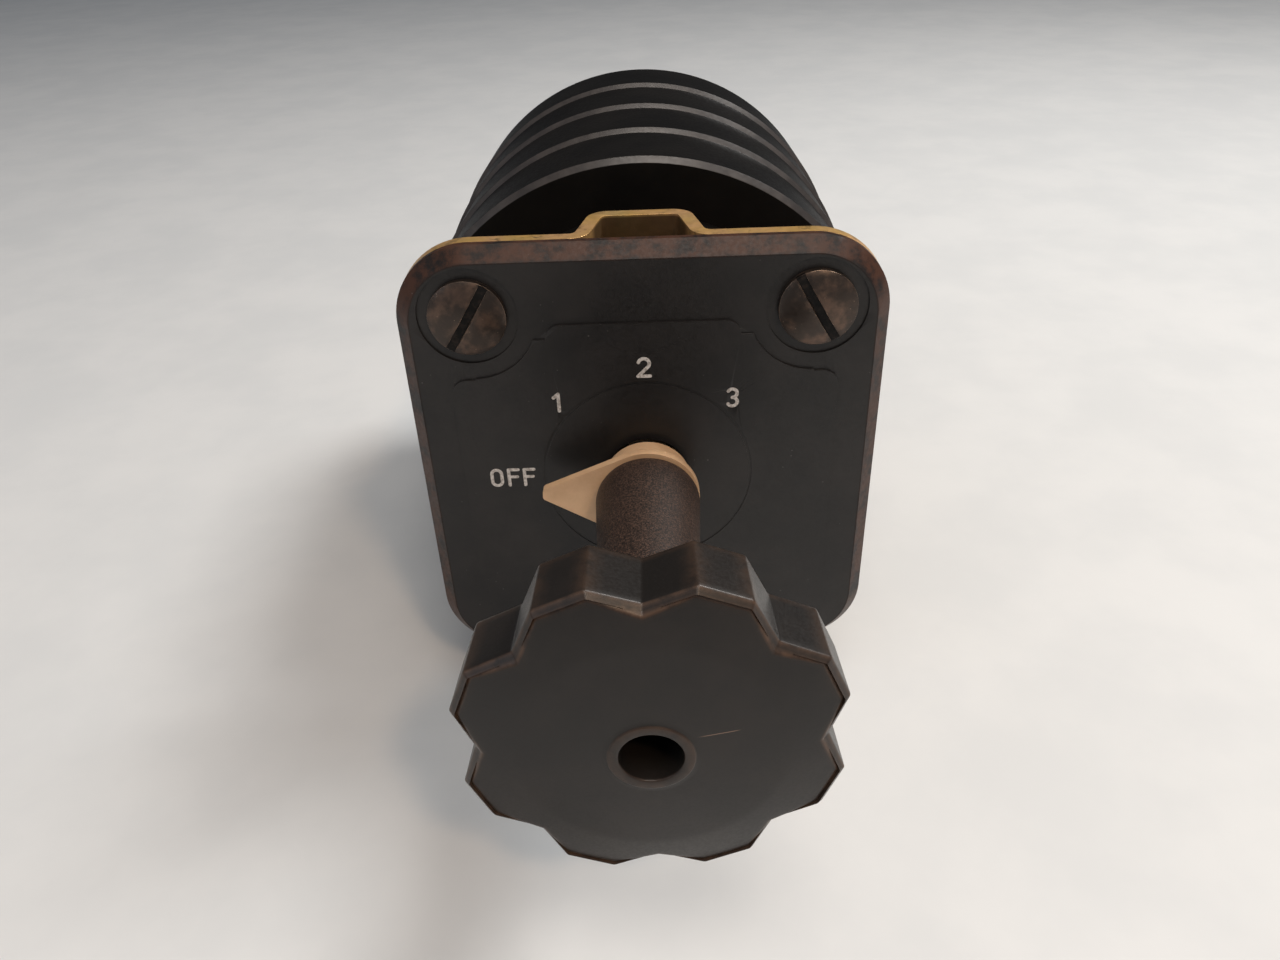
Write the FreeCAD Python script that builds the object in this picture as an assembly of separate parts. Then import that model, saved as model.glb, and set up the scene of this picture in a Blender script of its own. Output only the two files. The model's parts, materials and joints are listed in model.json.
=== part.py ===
import FreeCAD, Part
import math
import os

from FreeCAD import Vector

# Panel-mounted rotary battery selector switch: OFF, 1, 2, 3.
# Millimetres, +X right, +Y from the knob back through the panel, +Z up.
# The origin is on the shaft axis, on the front face of the mounting plate, where the panel is clamped.

# ---- driving dimensions -------------------------------------------------------------------------
STEP_ANGLE = 45.0           # between two dial positions
DIAL_POSITIONS = 4          # OFF, 1, 2, 3
DECK_COUNT = 4

# dial plate and mounting plate share one outline
PLATE_W = 63.5
PLATE_H = 66.0
PLATE_CORNER_R = 10.2
DIAL_T = 2.85               # dial plate without its raised field
DIAL_LAND = 0.9             # straight part of the edge, at the back
DIAL_BEVEL_W = 1.8
FIELD_RISE = 0.3
FIELD_HALF_W = 25.5
FIELD_TOP_Z = 22.8
FIELD_SHOULDER_Z = 15.3
FIELD_TOP_HALF_W = 12.6
FIELD_BOTTOM_MARGIN = 4.2
FIELD_CORNER_R = 2.0
FIELD_SWEEP_R = 8.7         # the field's edge sweeps round each screw in this arc
DIAL_RING_R = 14.3          # shallow groove about the shaft
DIAL_RING_W = 0.4
DIAL_RING_DEPTH = 0.12
DIAL_HOLE_R = 5.6

# panel screws: two at the top corners, one at bottom centre
PANEL_SCREW_X = 22.2
PANEL_SCREW_Z = 24.2
SCREW_RECESS_R = 6.5
SCREW_RECESS_DEPTH = 0.3
SCREW_HEAD_R = 5.0
SCREW_HEAD_EDGE = 0.9
SCREW_HEAD_H = 2.1
SCREW_SLOT_W = 1.2
SCREW_SLOT_DEPTH = 1.1
SCREW_SHANK_R = 2.35
SCREW_HOLE_R = 2.5
SCREW_END_Y = 8.0
SLOT_ANGLES = (58.0, -60.0, 15.0)

# mounting plate, with a pressed channel down its middle
SHEET_T = 1.9
CHANNEL_DEPTH = 8.4
CHANNEL_BASE_HALF_W = 8.3
CHANNEL_REAR_HALF_W = 6.5
BEND_INNER_R = 1.0
BUSHING_R = 5.4
CHANNEL_SCREW_Z = 15.6       # one above and one below the shaft
CHANNEL_SCREW_R = 1.6
CHANNEL_SCREW_HEAD_R = 3.0
CHANNEL_SCREW_HEAD_EDGE = 0.8
CHANNEL_SCREW_HEAD_H = 1.9
CHANNEL_SCREW_SLOT = 0.8     # both its width and its depth
CHANNEL_SCREW_END_Y = 14.2
CLINCH_NUT_R = 4.2
CLINCH_NUT_L = 4.2

# shaft
SHAFT_SQUARE = 6.4
SHAFT_CORNER_R = 4.45
JOURNAL_R = 4.0
DRIVE_SQUARE = 5.4
RUNNING_GAP = 0.05
SHAFT_FRONT_Y = -33.5

# knob
KNOB_LOBES = 8
KNOB_TURN = 1.2             # degrees that the first notch stands off 12 o'clock
LOBE_HALF_ANGLE = 7.8       # from a lobe's middle to its two ridges
RIDGE_R = 20.0
NOTCH_R = 17.5
RIM_CHAMFER = 0.8
KNOB_DRAFT = 0.4            # the skirt draws in this much towards its back
KNOB_REAR_Y = -44.0
KNOB_RIM_Y = -52.3
KNOB_CROWN = 1.8
NECK_KNOB_R = 5.4
NECK_FOOT_R = 6.95
NECK_FOOT_Y = -10.7
NECK_FOOT_ROUND = 1.0
NECK_FLARE = 3.4            # the neck opens out this much into the knob's back
POINTER_FACE_Y = -9.2
KNOB_HOLE_R = 3.2
KNOB_HOLE_LIP_R = 4.3
HEAD_POCKET_R = 3.0
HEAD_POCKET_Y = -39.6
INSERT_FRONT_Y = -36.0
INSERT_REAR_Y = -13.0
INSERT_R = 4.5
HANDLE_SCREW_R = 1.5
HANDLE_SCREW_DEPTH = 9.0    # how far the shaft is tapped
HANDLE_WASHER_T = 0.8
HANDLE_HEAD_EDGE = 1.6
HANDLE_HEAD_H = 2.3
HANDLE_SLOT_W = 0.8
HANDLE_SLOT_DEPTH = 1.0

# pointer
POINTER_T = 1.2
POINTER_RING_R = 7.0
POINTER_TIP_R = 14.1
POINTER_TIP_HALF_W = 0.7
POINTER_LEAN = 4.0          # degrees that the pointer sits turned on the shaft towards position 1
POINTER_BOSS_R = 5.9
POINTER_BOSS_Y = -4.4

# round stack behind the mounting plate
STACK_R = 37.1
STACK_FRONT_Y = SHEET_T + CHANNEL_DEPTH
DETENT_HOUSING_END_Y = 20.6
DECK_PITCH = 15.9
DECK_CHAMFER = 0.8
DECK_DRAFT = 0.6            # each deck is this much smaller in radius at its back
CAVITY_R = 32.0
WEB_T = 2.6
DETENT_WEB_T = 2.0
WEB_HOLE_R = 5.2

# tie bolts, at 3 and 9 o'clock
TIE_X = 28.2
TIE_R = 2.0
TIE_HOLE_R = 2.15
TIE_BOSS_R = 4.4
TIE_HEAD_R = 3.6
TIE_HEAD_EDGE = 1.7
TIE_HEAD_H = 2.5
TIE_SLOT_W = 1.0
TIE_SLOT_DEPTH = 1.1
TIE_END = 5.6               # how far the bolts stand out behind the cover
TIE_WASHER_R = 3.9
TIE_WASHER_T = 1.0
TIE_NUT_AF = 7.0
TIE_NUT_H = 3.2
LOCK_WASHER_CUT = 0.7       # the split in a lock washer

# detent, in a narrower housing with a lug for each tie bolt
DETENT_R = 29.0
DETENT_CAVITY_R = 25.5
TIE_LUG_R = 4.6
DETENT_NOTCHES = 8
DETENT_PEAK_R = 11.0
DETENT_VALLEY_R = 9.6
DETENT_WHEEL_T = 4.2
PLUNGER_R = 2.0
PLUNGER_LIFT_GAP = 0.2      # between the wheel's peaks and a lifted plunger
PLUNGER_L = 11.0
PLUNGER_BORE_R = 1.3
GUIDE_START_R = 13.8
GUIDE_HALF_W = 4.6
GUIDE_END_R = 24.5
SPRING_WIRE_R = 0.3
SPRING_COIL_R = 0.85
SPRING_TURNS = 9
SPRING_SEAT = 1.5           # depth of solid nose in front of the spring
STOP_ARM_T = 2.2
STOP_ARM_HUB_R = 7.0
STOP_ARM_R = 13.2
STOP_ARM_HALF_W = 2.2
STOP_PIN_R = 1.2
STOP_PIN_AT_R = 11.4
STOP_GAP = 0.25

# contacts
BLADE_T = 1.6
BLADE_W = 8.0
BLADE_R = 21.0
BLADE_EYE_R = 6.3
JAW_GAP = 0.15
JAW_T = 0.8
JAW_START_X = 15.5
STRAP_T = 1.2
STRAP_W = 8.0
STRAP_X = 22.2
STRAP_TOP_Z = 5.5
STRAP_BEND_Z = -12.5
JAW_W = 7.2
ROTOR_HUB_R = 8.5
ROTOR_FLANGE_R = 12.0
ROTOR_FLANGE_T = 1.5
ROTOR_END_GAP = 0.4
ROTOR_REAR_GAP = 1.3

# terminals, on a flat at the bottom of each deck
FLAT_Z = -31.0
FLOOR_Z = -27.0
TERMINAL_X = 13.0
STUD_R = 2.1
STUD_FREE_R = 2.0          # the threaded length left free below the nut
STUD_TIP_Z = -43.0
STUD_FREE_GAP = 0.2         # between the nut and the start of the free length
STUD_TIP_CHAMFER = 0.4
STUD_HEAD_R = 3.2
STUD_HEAD_H = 2.2
STUD_NUT_AF = 7.0
STUD_NUT_H = 3.2
STUD_WASHER_R = 4.3
STUD_WASHER_T = 0.8

# rear end
COVER_R = 34.0
COVER_T = 3.2
COVER_BOSS_R = 9.0
COVER_BOSS_H = 2.6
REAR_BUSHING_R = 6.0
THRUST_WASHER_R = 7.4
THRUST_WASHER_GAP = 0.15
RETAINING_RING_R = 6.2
RETAINING_RING_GAP = 3.2     # across its open mouth
GROOVE_R = 3.2
GROOVE_W = 1.1
GROOVE_OFFSET = 0.25         # from the rear bushing to the groove
SHAFT_OVERHANG = 1.8         # from the groove to the shaft's end

# lettering on the dial
FIGURE_H = 3.0
FIGURE_STROKE = 0.46
FIGURE_RADIUS = 16.5
FIGURE_DEPTH = 0.25
FIGURE_PROUD = 0.03
OFF_X = -18.8

AXIS_Y = Vector(0, 1, 0)

# ---- places worked out from these ---------------------------------------------------------------
DIAL_FACE_Y = -DIAL_T
FIELD_FACE_Y = -DIAL_T - FIELD_RISE
PANEL_SCREWS = (
    (-PANEL_SCREW_X, PANEL_SCREW_Z),
    (PANEL_SCREW_X, PANEL_SCREW_Z),
    (0.0, -PANEL_SCREW_Z),
)
FLOOR_Y = STACK_FRONT_Y - SHEET_T
STACK_END_Y = DETENT_HOUSING_END_Y + DECK_COUNT * DECK_PITCH
COVER_END_Y = STACK_END_Y + COVER_T

# along the shaft: front journal, square, rear journal, groove
JOURNAL_START_Y = FLOOR_Y - 1.0
SQUARE_START_Y = STACK_FRONT_Y + DETENT_WEB_T + 0.1
SQUARE_END_Y = STACK_END_Y - 0.95
GROOVE_Y = COVER_END_Y + COVER_BOSS_H + GROOVE_OFFSET
SHAFT_END_Y = GROOVE_Y + GROOVE_W + SHAFT_OVERHANG

# detent and stops
ARM_Y = SQUARE_START_Y + 0.1
WHEEL_Y = ARM_Y + STOP_ARM_T + 0.15
PLUNGER_Y = WHEEL_Y + DETENT_WHEEL_T / 2
NOSE_R = DETENT_PEAK_R + PLUNGER_LIFT_GAP
STOP_HALF_ANGLE = math.degrees(math.asin((STOP_ARM_HALF_W + STOP_PIN_R + STOP_GAP) / STOP_PIN_AT_R))
TRAVEL = STEP_ANGLE * (DIAL_POSITIONS - 1)
ARM_REST_ANGLE = 90.0 + TRAVEL / 2

TERMINALS = [(x, index) for index in range(DECK_COUNT) for x in (-TERMINAL_X, TERMINAL_X)]


# ---- shapes about the shaft axis ----------------------------------------------------------------
def rod(r, y0, y1, x=0.0, z=0.0):
    """A cylinder along Y from y0 to y1."""
    return Part.makeCylinder(r, y1 - y0, Vector(x, y0, z), AXIS_Y)


def ring(r_out, r_in, y0, y1, x=0.0, z=0.0):
    return rod(r_out, y0, y1, x, z).cut(rod(r_in, y0 - 1.0, y1 + 1.0, x, z))


def square_bar(side, y0, y1):
    return Part.makeBox(side, y1 - y0, side, Vector(-side / 2, y0, -side / 2))


def box(x0, x1, y0, y1, z0, z1):
    return Part.makeBox(x1 - x0, y1 - y0, z1 - z0, Vector(x0, y0, z0))


def hexagon(across_flats, y0, y1, x=0.0, z=0.0):
    corner_r = across_flats / math.sqrt(3.0)
    points = [polar(corner_r, 60.0 * i + 30.0, y0) + Vector(x, 0, z) for i in range(6)]
    return prism(points, y1 - y0)


def polar(r, angle, y=0.0):
    """A point at radius r, with the angle from +X towards +Z, as seen from the front."""
    a = math.radians(angle)
    return Vector(r * math.cos(a), y, r * math.sin(a))


def turned(shape, angle):
    """A copy turned about the shaft by an angle from +X towards +Z."""
    copy = shape.copy()
    copy.rotate(Vector(0, 0, 0), AXIS_Y, -angle)
    return copy


def prism(points, depth):
    """A closed polygon in an XZ plane, pushed along +Y."""
    wire = Part.makePolygon(points + [points[0]])
    return Part.Face(wire).extrude(Vector(0, depth, 0))


def revolved(profile):
    """A solid turned about the shaft from (radius, y) points."""
    points = [Vector(r, y, 0) for r, y in profile]
    wire = Part.makePolygon(points + [points[0]])
    return Part.Face(wire).revolve(Vector(0, 0, 0), AXIS_Y, 360.0)


def fused(shapes):
    result = shapes[0]
    for shape in shapes[1:]:
        result = result.fuse(shape)
    return result.removeSplitter()


def plate_wire(width, height, radius, y):
    """The round-cornered outline of the dial plate, at one depth."""
    x = width / 2 - radius
    z = height / 2 - radius
    edges = []
    corners = [(x, z, 0), (-x, z, 90), (-x, -z, 180), (x, -z, 270)]
    ends = []
    for cx, cz, start in corners:
        centre = Vector(cx, y, cz)
        a = centre + polar(radius, start)
        m = centre + polar(radius, start + 45)
        b = centre + polar(radius, start + 90)
        edges.append(Part.Arc(a, m, b).toShape())
        ends.append((a, b))
    for i in range(4):
        edges.append(Part.LineSegment(ends[i][1], ends[(i + 1) % 4][0]).toShape())
    return Part.Wire(Part.__sortEdges__(edges))


def plate_solid(width, height, radius, y0, y1):
    return Part.Face(plate_wire(width, height, radius, y0)).extrude(Vector(0, y1 - y0, 0))


# ---- dial plate ---------------------------------------------------------------------------------
def dial_body():
    """The plate with a straight land at the back and a bevel round the front."""
    land = plate_solid(PLATE_W, PLATE_H, PLATE_CORNER_R, -DIAL_LAND, 0.0)
    back = plate_wire(PLATE_W, PLATE_H, PLATE_CORNER_R, -DIAL_LAND)
    inset = 2 * DIAL_BEVEL_W
    front = plate_wire(PLATE_W - inset, PLATE_H - inset, PLATE_CORNER_R - DIAL_BEVEL_W, DIAL_FACE_Y)
    bevel = Part.makeLoft([back, front], True, True)
    return land.fuse(bevel)


def field():
    """The raised name field, stepped in round the screws."""
    bottom = -PLATE_H / 2 + FIELD_BOTTOM_MARGIN
    points = [
        (-FIELD_TOP_HALF_W, FIELD_TOP_Z),
        (FIELD_TOP_HALF_W, FIELD_TOP_Z),
        (FIELD_TOP_HALF_W, FIELD_SHOULDER_Z),
        (FIELD_HALF_W, FIELD_SHOULDER_Z),
        (FIELD_HALF_W, bottom),
        (-FIELD_HALF_W, bottom),
        (-FIELD_HALF_W, FIELD_SHOULDER_Z),
        (-FIELD_TOP_HALF_W, FIELD_SHOULDER_Z),
    ]
    solid = prism([Vector(x, FIELD_FACE_Y, z) for x, z in points], FIELD_RISE + 0.2)
    outer = [edge for edge in solid.Edges if is_along_y(edge) and is_convex_corner(edge)]
    solid = solid.makeFillet(FIELD_CORNER_R, outer)
    # the step sweeps round each screw in an arc
    for x, z in PANEL_SCREWS:
        if z > 0:
            x0, x1 = sorted((math.copysign(FIELD_TOP_HALF_W - 1, x), x))
            z1 = FIELD_TOP_Z - FIELD_CORNER_R
            infill = box(x0, x1, FIELD_FACE_Y, DIAL_FACE_Y + 0.2, FIELD_SHOULDER_Z - 1, z1)
            solid = solid.fuse(infill)
        solid = solid.cut(rod(FIELD_SWEEP_R, FIELD_FACE_Y - 1, DIAL_FACE_Y, x, z))
    return solid


def is_along_y(edge):
    a, b = edge.Vertexes[0].Point, edge.Vertexes[-1].Point
    return abs(a.x - b.x) < 1e-6 and abs(a.z - b.z) < 1e-6


def is_convex_corner(edge):
    p = edge.Vertexes[0].Point
    return not (abs(abs(p.x) - FIELD_TOP_HALF_W) < 1e-6 and abs(p.z - FIELD_SHOULDER_Z) < 1e-6)


def escutcheon(figures):
    solid = dial_body().fuse(field())
    half = DIAL_RING_W / 2
    groove = ring(DIAL_RING_R + half, DIAL_RING_R - half, FIELD_FACE_Y - 1, FIELD_FACE_Y + DIAL_RING_DEPTH)
    cuts = [groove, rod(DIAL_HOLE_R, FIELD_FACE_Y - 1, 1.0)]
    for x, z in PANEL_SCREWS:
        cuts.append(rod(SCREW_RECESS_R, FIELD_FACE_Y - 1, DIAL_FACE_Y + SCREW_RECESS_DEPTH, x, z))
        cuts.append(rod(SCREW_HOLE_R, FIELD_FACE_Y - 1, 1.0, x, z))
    for glyph in figures:
        cuts.append(glyph)
    for cut in cuts:
        solid = solid.cut(cut)
    return solid.removeSplitter()


# ---- dial figures -------------------------------------------------------------------------------
def line_stroke(p, q):
    """A straight stroke with round ends, in the XZ plane."""
    dx, dz = q[0] - p[0], q[1] - p[1]
    length = math.hypot(dx, dz)
    half = FIGURE_STROKE / 2
    nx, nz = -dz / length * half, dx / length * half
    corners = [(p[0] + nx, p[1] + nz), (q[0] + nx, q[1] + nz), (q[0] - nx, q[1] - nz), (p[0] - nx, p[1] - nz)]
    bar = prism([Vector(x, 0, z) for x, z in corners], FIGURE_DEPTH)
    return [bar, rod(half, 0, FIGURE_DEPTH, *p), rod(half, 0, FIGURE_DEPTH, *q)]


def arc_stroke(centre, r, start, end):
    """A round stroke about a centre, from one angle to another."""
    half = FIGURE_STROKE / 2
    c = Vector(centre[0], 0, centre[1])
    middle = (start + end) / 2
    outer = Part.Arc(c + polar(r + half, start), c + polar(r + half, middle), c + polar(r + half, end))
    inner = Part.Arc(c + polar(r - half, end), c + polar(r - half, middle), c + polar(r - half, start))
    cap_a = Part.LineSegment(c + polar(r + half, end), c + polar(r - half, end))
    cap_b = Part.LineSegment(c + polar(r - half, start), c + polar(r + half, start))
    wire = Part.Wire([outer.toShape(), cap_a.toShape(), inner.toShape(), cap_b.toShape()])
    band = Part.Face(wire).extrude(Vector(0, FIGURE_DEPTH, 0))
    ends = [c + polar(r, start), c + polar(r, end)]
    return [band] + [rod(half, 0, FIGURE_DEPTH, p.x, p.z) for p in ends]


def figure_one():
    top = FIGURE_H / 2 - FIGURE_STROKE / 2
    return line_stroke((0.15, -top), (0.15, top)) + line_stroke((0.15, top), (-0.5, top - 0.55))


def figure_two():
    top = FIGURE_H / 2 - FIGURE_STROKE / 2
    r = 0.72
    bend = -38.0
    corner = (r * math.cos(math.radians(bend)), top - r + r * math.sin(math.radians(bend)))
    parts = arc_stroke((0, top - r), r, 165, bend)
    parts += line_stroke(corner, (-0.8, -top))
    return parts + line_stroke((-0.8, -top), (0.8, -top))


def figure_three():
    top = FIGURE_H / 2 - FIGURE_STROKE / 2
    upper_r = 0.62
    lower_r = top - upper_r
    parts = arc_stroke((-0.05, top - upper_r), upper_r, 150, -90)
    return parts + arc_stroke((-0.05, -top + lower_r), lower_r, 90, -150)


def letter_o():
    top = FIGURE_H / 2 - FIGURE_STROKE / 2
    r = 0.68
    parts = arc_stroke((0, top - r), r, 0, 180) + arc_stroke((0, r - top), r, 180, 360)
    return parts + line_stroke((r, r - top), (r, top - r)) + line_stroke((-r, r - top), (-r, top - r))


def letter_f():
    top = FIGURE_H / 2 - FIGURE_STROKE / 2
    left = -0.6
    parts = line_stroke((left, -top), (left, top)) + line_stroke((left, top), (0.75, top))
    return parts + line_stroke((left, 0.1), (0.55, 0.1))


def dial_figures():
    """One solid per figure, sunk in the field and a hair proud of it."""
    places = [
        (letter_o, OFF_X - 2.25, 0.0),
        (letter_f, OFF_X + 0.05, 0.0),
        (letter_f, OFF_X + 2.25, 0.0),
    ]
    for index, figure in enumerate((figure_one, figure_two, figure_three)):
        spot = polar(FIGURE_RADIUS, 180.0 - STEP_ANGLE * (index + 1))
        places.append((figure, spot.x, spot.z))
    glyphs = []
    for make, x, z in places:
        glyph = fused(make())
        glyph.translate(Vector(x, FIELD_FACE_Y - FIGURE_PROUD, z))
        glyphs.append(glyph)
    return glyphs


# ---- mounting plate, bushing and panel screws ---------------------------------------------------
def mounting_plate():
    """A sheet with a channel pressed down its middle, bent with real radii, then cut to the outline."""
    half_h = PLATE_H / 2
    slope = (CHANNEL_BASE_HALF_W - CHANNEL_REAR_HALF_W) / CHANNEL_DEPTH
    across = SHEET_T * math.sqrt(1 + slope * slope)
    rear_y = STACK_FRONT_Y
    floor_y = rear_y - SHEET_T

    def wall_x(y):
        return CHANNEL_REAR_HALF_W + slope * (rear_y - y)

    right = [
        (wall_x(0.0) - across, 0.0),
        (PLATE_W / 2 + 1, 0.0),
        (PLATE_W / 2 + 1, SHEET_T),
        (wall_x(SHEET_T), SHEET_T),
        (wall_x(rear_y), rear_y),
    ]
    left = [(-x, y) for x, y in reversed(right)]
    floor = [(-(wall_x(floor_y) - across), floor_y), (wall_x(floor_y) - across, floor_y)]
    outline = [Vector(x, y, -half_h - 1) for x, y in floor + right + left]
    sheet = Part.Face(Part.makePolygon(outline + [outline[0]])).extrude(Vector(0, 0, PLATE_H + 2))
    tight = [(wall_x(SHEET_T), SHEET_T), (wall_x(floor_y) - across, floor_y)]
    wide = [(wall_x(0.0) - across, 0.0), (wall_x(rear_y), rear_y)]
    for spots, radius in ((tight, BEND_INNER_R), (wide, BEND_INNER_R + SHEET_T)):
        edges = []
        for edge in sheet.Edges:
            p = edge.CenterOfMass
            if any(abs(abs(p.x) - x) < 1e-4 and abs(p.y - y) < 1e-4 for x, y in spots):
                edges.append(edge)
        sheet = sheet.makeFillet(radius, edges)
    sheet = sheet.common(plate_solid(PLATE_W, PLATE_H, PLATE_CORNER_R, -1.0, rear_y + 1))
    for x, z in PANEL_SCREWS[:2]:
        sheet = sheet.cut(rod(SCREW_HOLE_R, -1, rear_y + 1, x, z))
    sheet = sheet.cut(rod(BUSHING_R, 1, rear_y + 1))
    for z in (CHANNEL_SCREW_Z, -CHANNEL_SCREW_Z):
        sheet = sheet.cut(rod(CHANNEL_SCREW_R, 1, rear_y + 1, 0, z))
    return sheet


def front_bushing():
    """A plain bushing staked in the channel floor and the detent housing's web."""
    return ring(BUSHING_R, JOURNAL_R + RUNNING_GAP, FLOOR_Y, STACK_FRONT_Y + DETENT_WEB_T)


def slotted_head(r, edge_h, total_h, slot_w, slot_depth, slot_angle):
    """A domed head standing on Y = 0 towards -Y, with a screwdriver slot."""
    rise = total_h - edge_h
    dome_r = (r * r + rise * rise) / (2 * rise)
    dome = Part.makeSphere(dome_r, Vector(0, dome_r - total_h, 0))
    head = rod(r, -total_h, 0).common(dome)
    slot = box(-r - 1, r + 1, -total_h - 1, -total_h + slot_depth, -slot_w / 2, slot_w / 2)
    return head.cut(turned(slot, slot_angle))


def panel_screws():
    seat = DIAL_FACE_Y + SCREW_RECESS_DEPTH
    screws = []
    for (x, z), angle in zip(PANEL_SCREWS, SLOT_ANGLES):
        head = slotted_head(SCREW_HEAD_R, SCREW_HEAD_EDGE, SCREW_HEAD_H,
                            SCREW_SLOT_W, SCREW_SLOT_DEPTH, angle)
        shank = rod(SCREW_SHANK_R, 0, SCREW_END_Y - seat)
        screw = head.fuse(shank)
        screw.translate(Vector(x, seat, z))
        screws.append(screw)
    return screws


def clinch_nuts():
    """Round nuts for the top screws, and a tapped standoff on the channel floor for the bottom one."""
    nuts = []
    for x, z in PANEL_SCREWS[:2]:
        nuts.append(ring(CLINCH_NUT_R, SCREW_SHANK_R, SHEET_T, SHEET_T + CLINCH_NUT_L, x, z))
    x, z = PANEL_SCREWS[2]
    nuts.append(ring(CLINCH_NUT_R, SCREW_SHANK_R, 0.0, FLOOR_Y, x, z))
    return nuts


def channel_screws():
    screws = []
    for z in (CHANNEL_SCREW_Z, -CHANNEL_SCREW_Z):
        head = slotted_head(CHANNEL_SCREW_HEAD_R, CHANNEL_SCREW_HEAD_EDGE, CHANNEL_SCREW_HEAD_H,
                            CHANNEL_SCREW_SLOT, CHANNEL_SCREW_SLOT, 35.0)
        shank = rod(CHANNEL_SCREW_R, 0, CHANNEL_SCREW_END_Y - FLOOR_Y)
        screw = head.fuse(shank)
        screw.translate(Vector(0, FLOOR_Y, z))
        screws.append(screw)
    return screws


# ---- knob, pointer and shaft --------------------------------------------------------------------
def knob_outline(inset, y):
    """Eight flat-topped lobes: two ridges to a lobe, one notch between lobes."""
    points = []
    for lobe in range(KNOB_LOBES):
        notch = 90.0 + KNOB_TURN + 360.0 / KNOB_LOBES * lobe
        middle = notch + 180.0 / KNOB_LOBES
        points.append(polar(NOTCH_R - inset, notch, y))
        points.append(polar(RIDGE_R - inset, middle - LOBE_HALF_ANGLE, y))
        points.append(polar(RIDGE_R - inset, middle + LOBE_HALF_ANGLE, y))
    return Part.makePolygon(points + [points[0]])


def knob():
    rim_y = KNOB_RIM_Y + RIM_CHAMFER
    face_y = KNOB_RIM_Y - KNOB_CROWN
    skirt = Part.makeLoft([knob_outline(KNOB_DRAFT, KNOB_REAR_Y), knob_outline(0, rim_y)], True, True)
    chamfer = Part.makeLoft([knob_outline(0, rim_y), knob_outline(RIM_CHAMFER, KNOB_RIM_Y)], True, True)
    face = Part.Face(knob_outline(RIM_CHAMFER, KNOB_RIM_Y)).extrude(Vector(0, -KNOB_CROWN - 1, 0))
    face_r = RIDGE_R - RIM_CHAMFER
    dome_r = (face_r * face_r + KNOB_CROWN * KNOB_CROWN) / (2 * KNOB_CROWN)
    crown = face.common(Part.makeSphere(dome_r, Vector(0, face_y + dome_r, 0)))
    flare_y = KNOB_REAR_Y - 0.2
    neck = revolved([
        (0, POINTER_FACE_Y),
        (NECK_FOOT_R - NECK_FOOT_ROUND, POINTER_FACE_Y),
        (NECK_FOOT_R, NECK_FOOT_Y),
        (NECK_KNOB_R + 0.15, KNOB_REAR_Y + NECK_FLARE),
        (NECK_KNOB_R + 1.0, KNOB_REAR_Y + NECK_FLARE / 3),
        (NECK_KNOB_R + NECK_FLARE, flare_y),
        (0, flare_y),
    ])
    lip = ring(KNOB_HOLE_LIP_R + 0.2, KNOB_HOLE_LIP_R - 0.1, face_y - 1, face_y + 0.35)
    body = skirt.fuse(chamfer).fuse(crown).fuse(neck).cut(lip)
    body = body.cut(rod(KNOB_HOLE_R, face_y - 1, HEAD_POCKET_Y))
    body = body.cut(rod(HEAD_POCKET_R, HEAD_POCKET_Y - 1, INSERT_FRONT_Y))
    body = body.cut(rod(INSERT_R, INSERT_FRONT_Y, INSERT_REAR_Y))
    return body.cut(square_bar(DRIVE_SQUARE, INSERT_REAR_Y, POINTER_FACE_Y + 1))


def knob_insert():
    body = rod(INSERT_R, INSERT_FRONT_Y, INSERT_REAR_Y)
    body = body.cut(square_bar(DRIVE_SQUARE, SHAFT_FRONT_Y, INSERT_REAR_Y))
    return body.cut(rod(HANDLE_SCREW_R + 0.1, INSERT_FRONT_Y, SHAFT_FRONT_Y))


def handle_washer():
    """Split lock washer under the handle screw's head."""
    y0 = INSERT_FRONT_Y - HANDLE_WASHER_T
    washer = ring(HEAD_POCKET_R - 0.2, HANDLE_SCREW_R + 0.15, y0, INSERT_FRONT_Y)
    half = LOCK_WASHER_CUT / 2
    return washer.cut(box(0.5, HEAD_POCKET_R + 1, y0 - 1, INSERT_FRONT_Y + 1, -half, half))


def handle_screw():
    seat = INSERT_FRONT_Y - HANDLE_WASHER_T
    head = slotted_head(HEAD_POCKET_R - 0.2, HANDLE_HEAD_EDGE, HANDLE_HEAD_H,
                        HANDLE_SLOT_W, HANDLE_SLOT_DEPTH, 20.0)
    head.translate(Vector(0, seat, 0))
    return head.fuse(rod(HANDLE_SCREW_R, seat, SHAFT_FRONT_Y + HANDLE_SCREW_DEPTH))


def pointer():
    """A ring that draws out in two tangents to a blunt tip, with a boss behind it."""
    y0 = POINTER_FACE_Y
    tip = POINTER_TIP_R
    half = POINTER_TIP_HALF_W
    reach = math.hypot(tip, half)
    lean = math.degrees(math.acos(POINTER_RING_R / reach)) + math.degrees(math.atan2(half, tip))
    touch = polar(POINTER_RING_R, 180.0 - lean, y0)
    mirror = Vector(touch.x, y0, -touch.z)
    corners = [touch, Vector(-tip, y0, half), Vector(-tip, y0, -half), mirror]
    blade = prism(corners, POINTER_T)
    tip_edges = [e for e in blade.Edges if is_along_y(e) and abs(e.CenterOfMass.x + tip) < 1e-6]
    blade = blade.makeFillet(half * 0.8, tip_edges)
    plate = blade.fuse(rod(POINTER_RING_R, y0, y0 + POINTER_T)).removeSplitter()
    boss = rod(POINTER_BOSS_R, y0 + POINTER_T, POINTER_BOSS_Y)
    body = turned(plate, -POINTER_LEAN).fuse(boss)
    return body.cut(square_bar(DRIVE_SQUARE, y0 - 1, 0)).removeSplitter()


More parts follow.
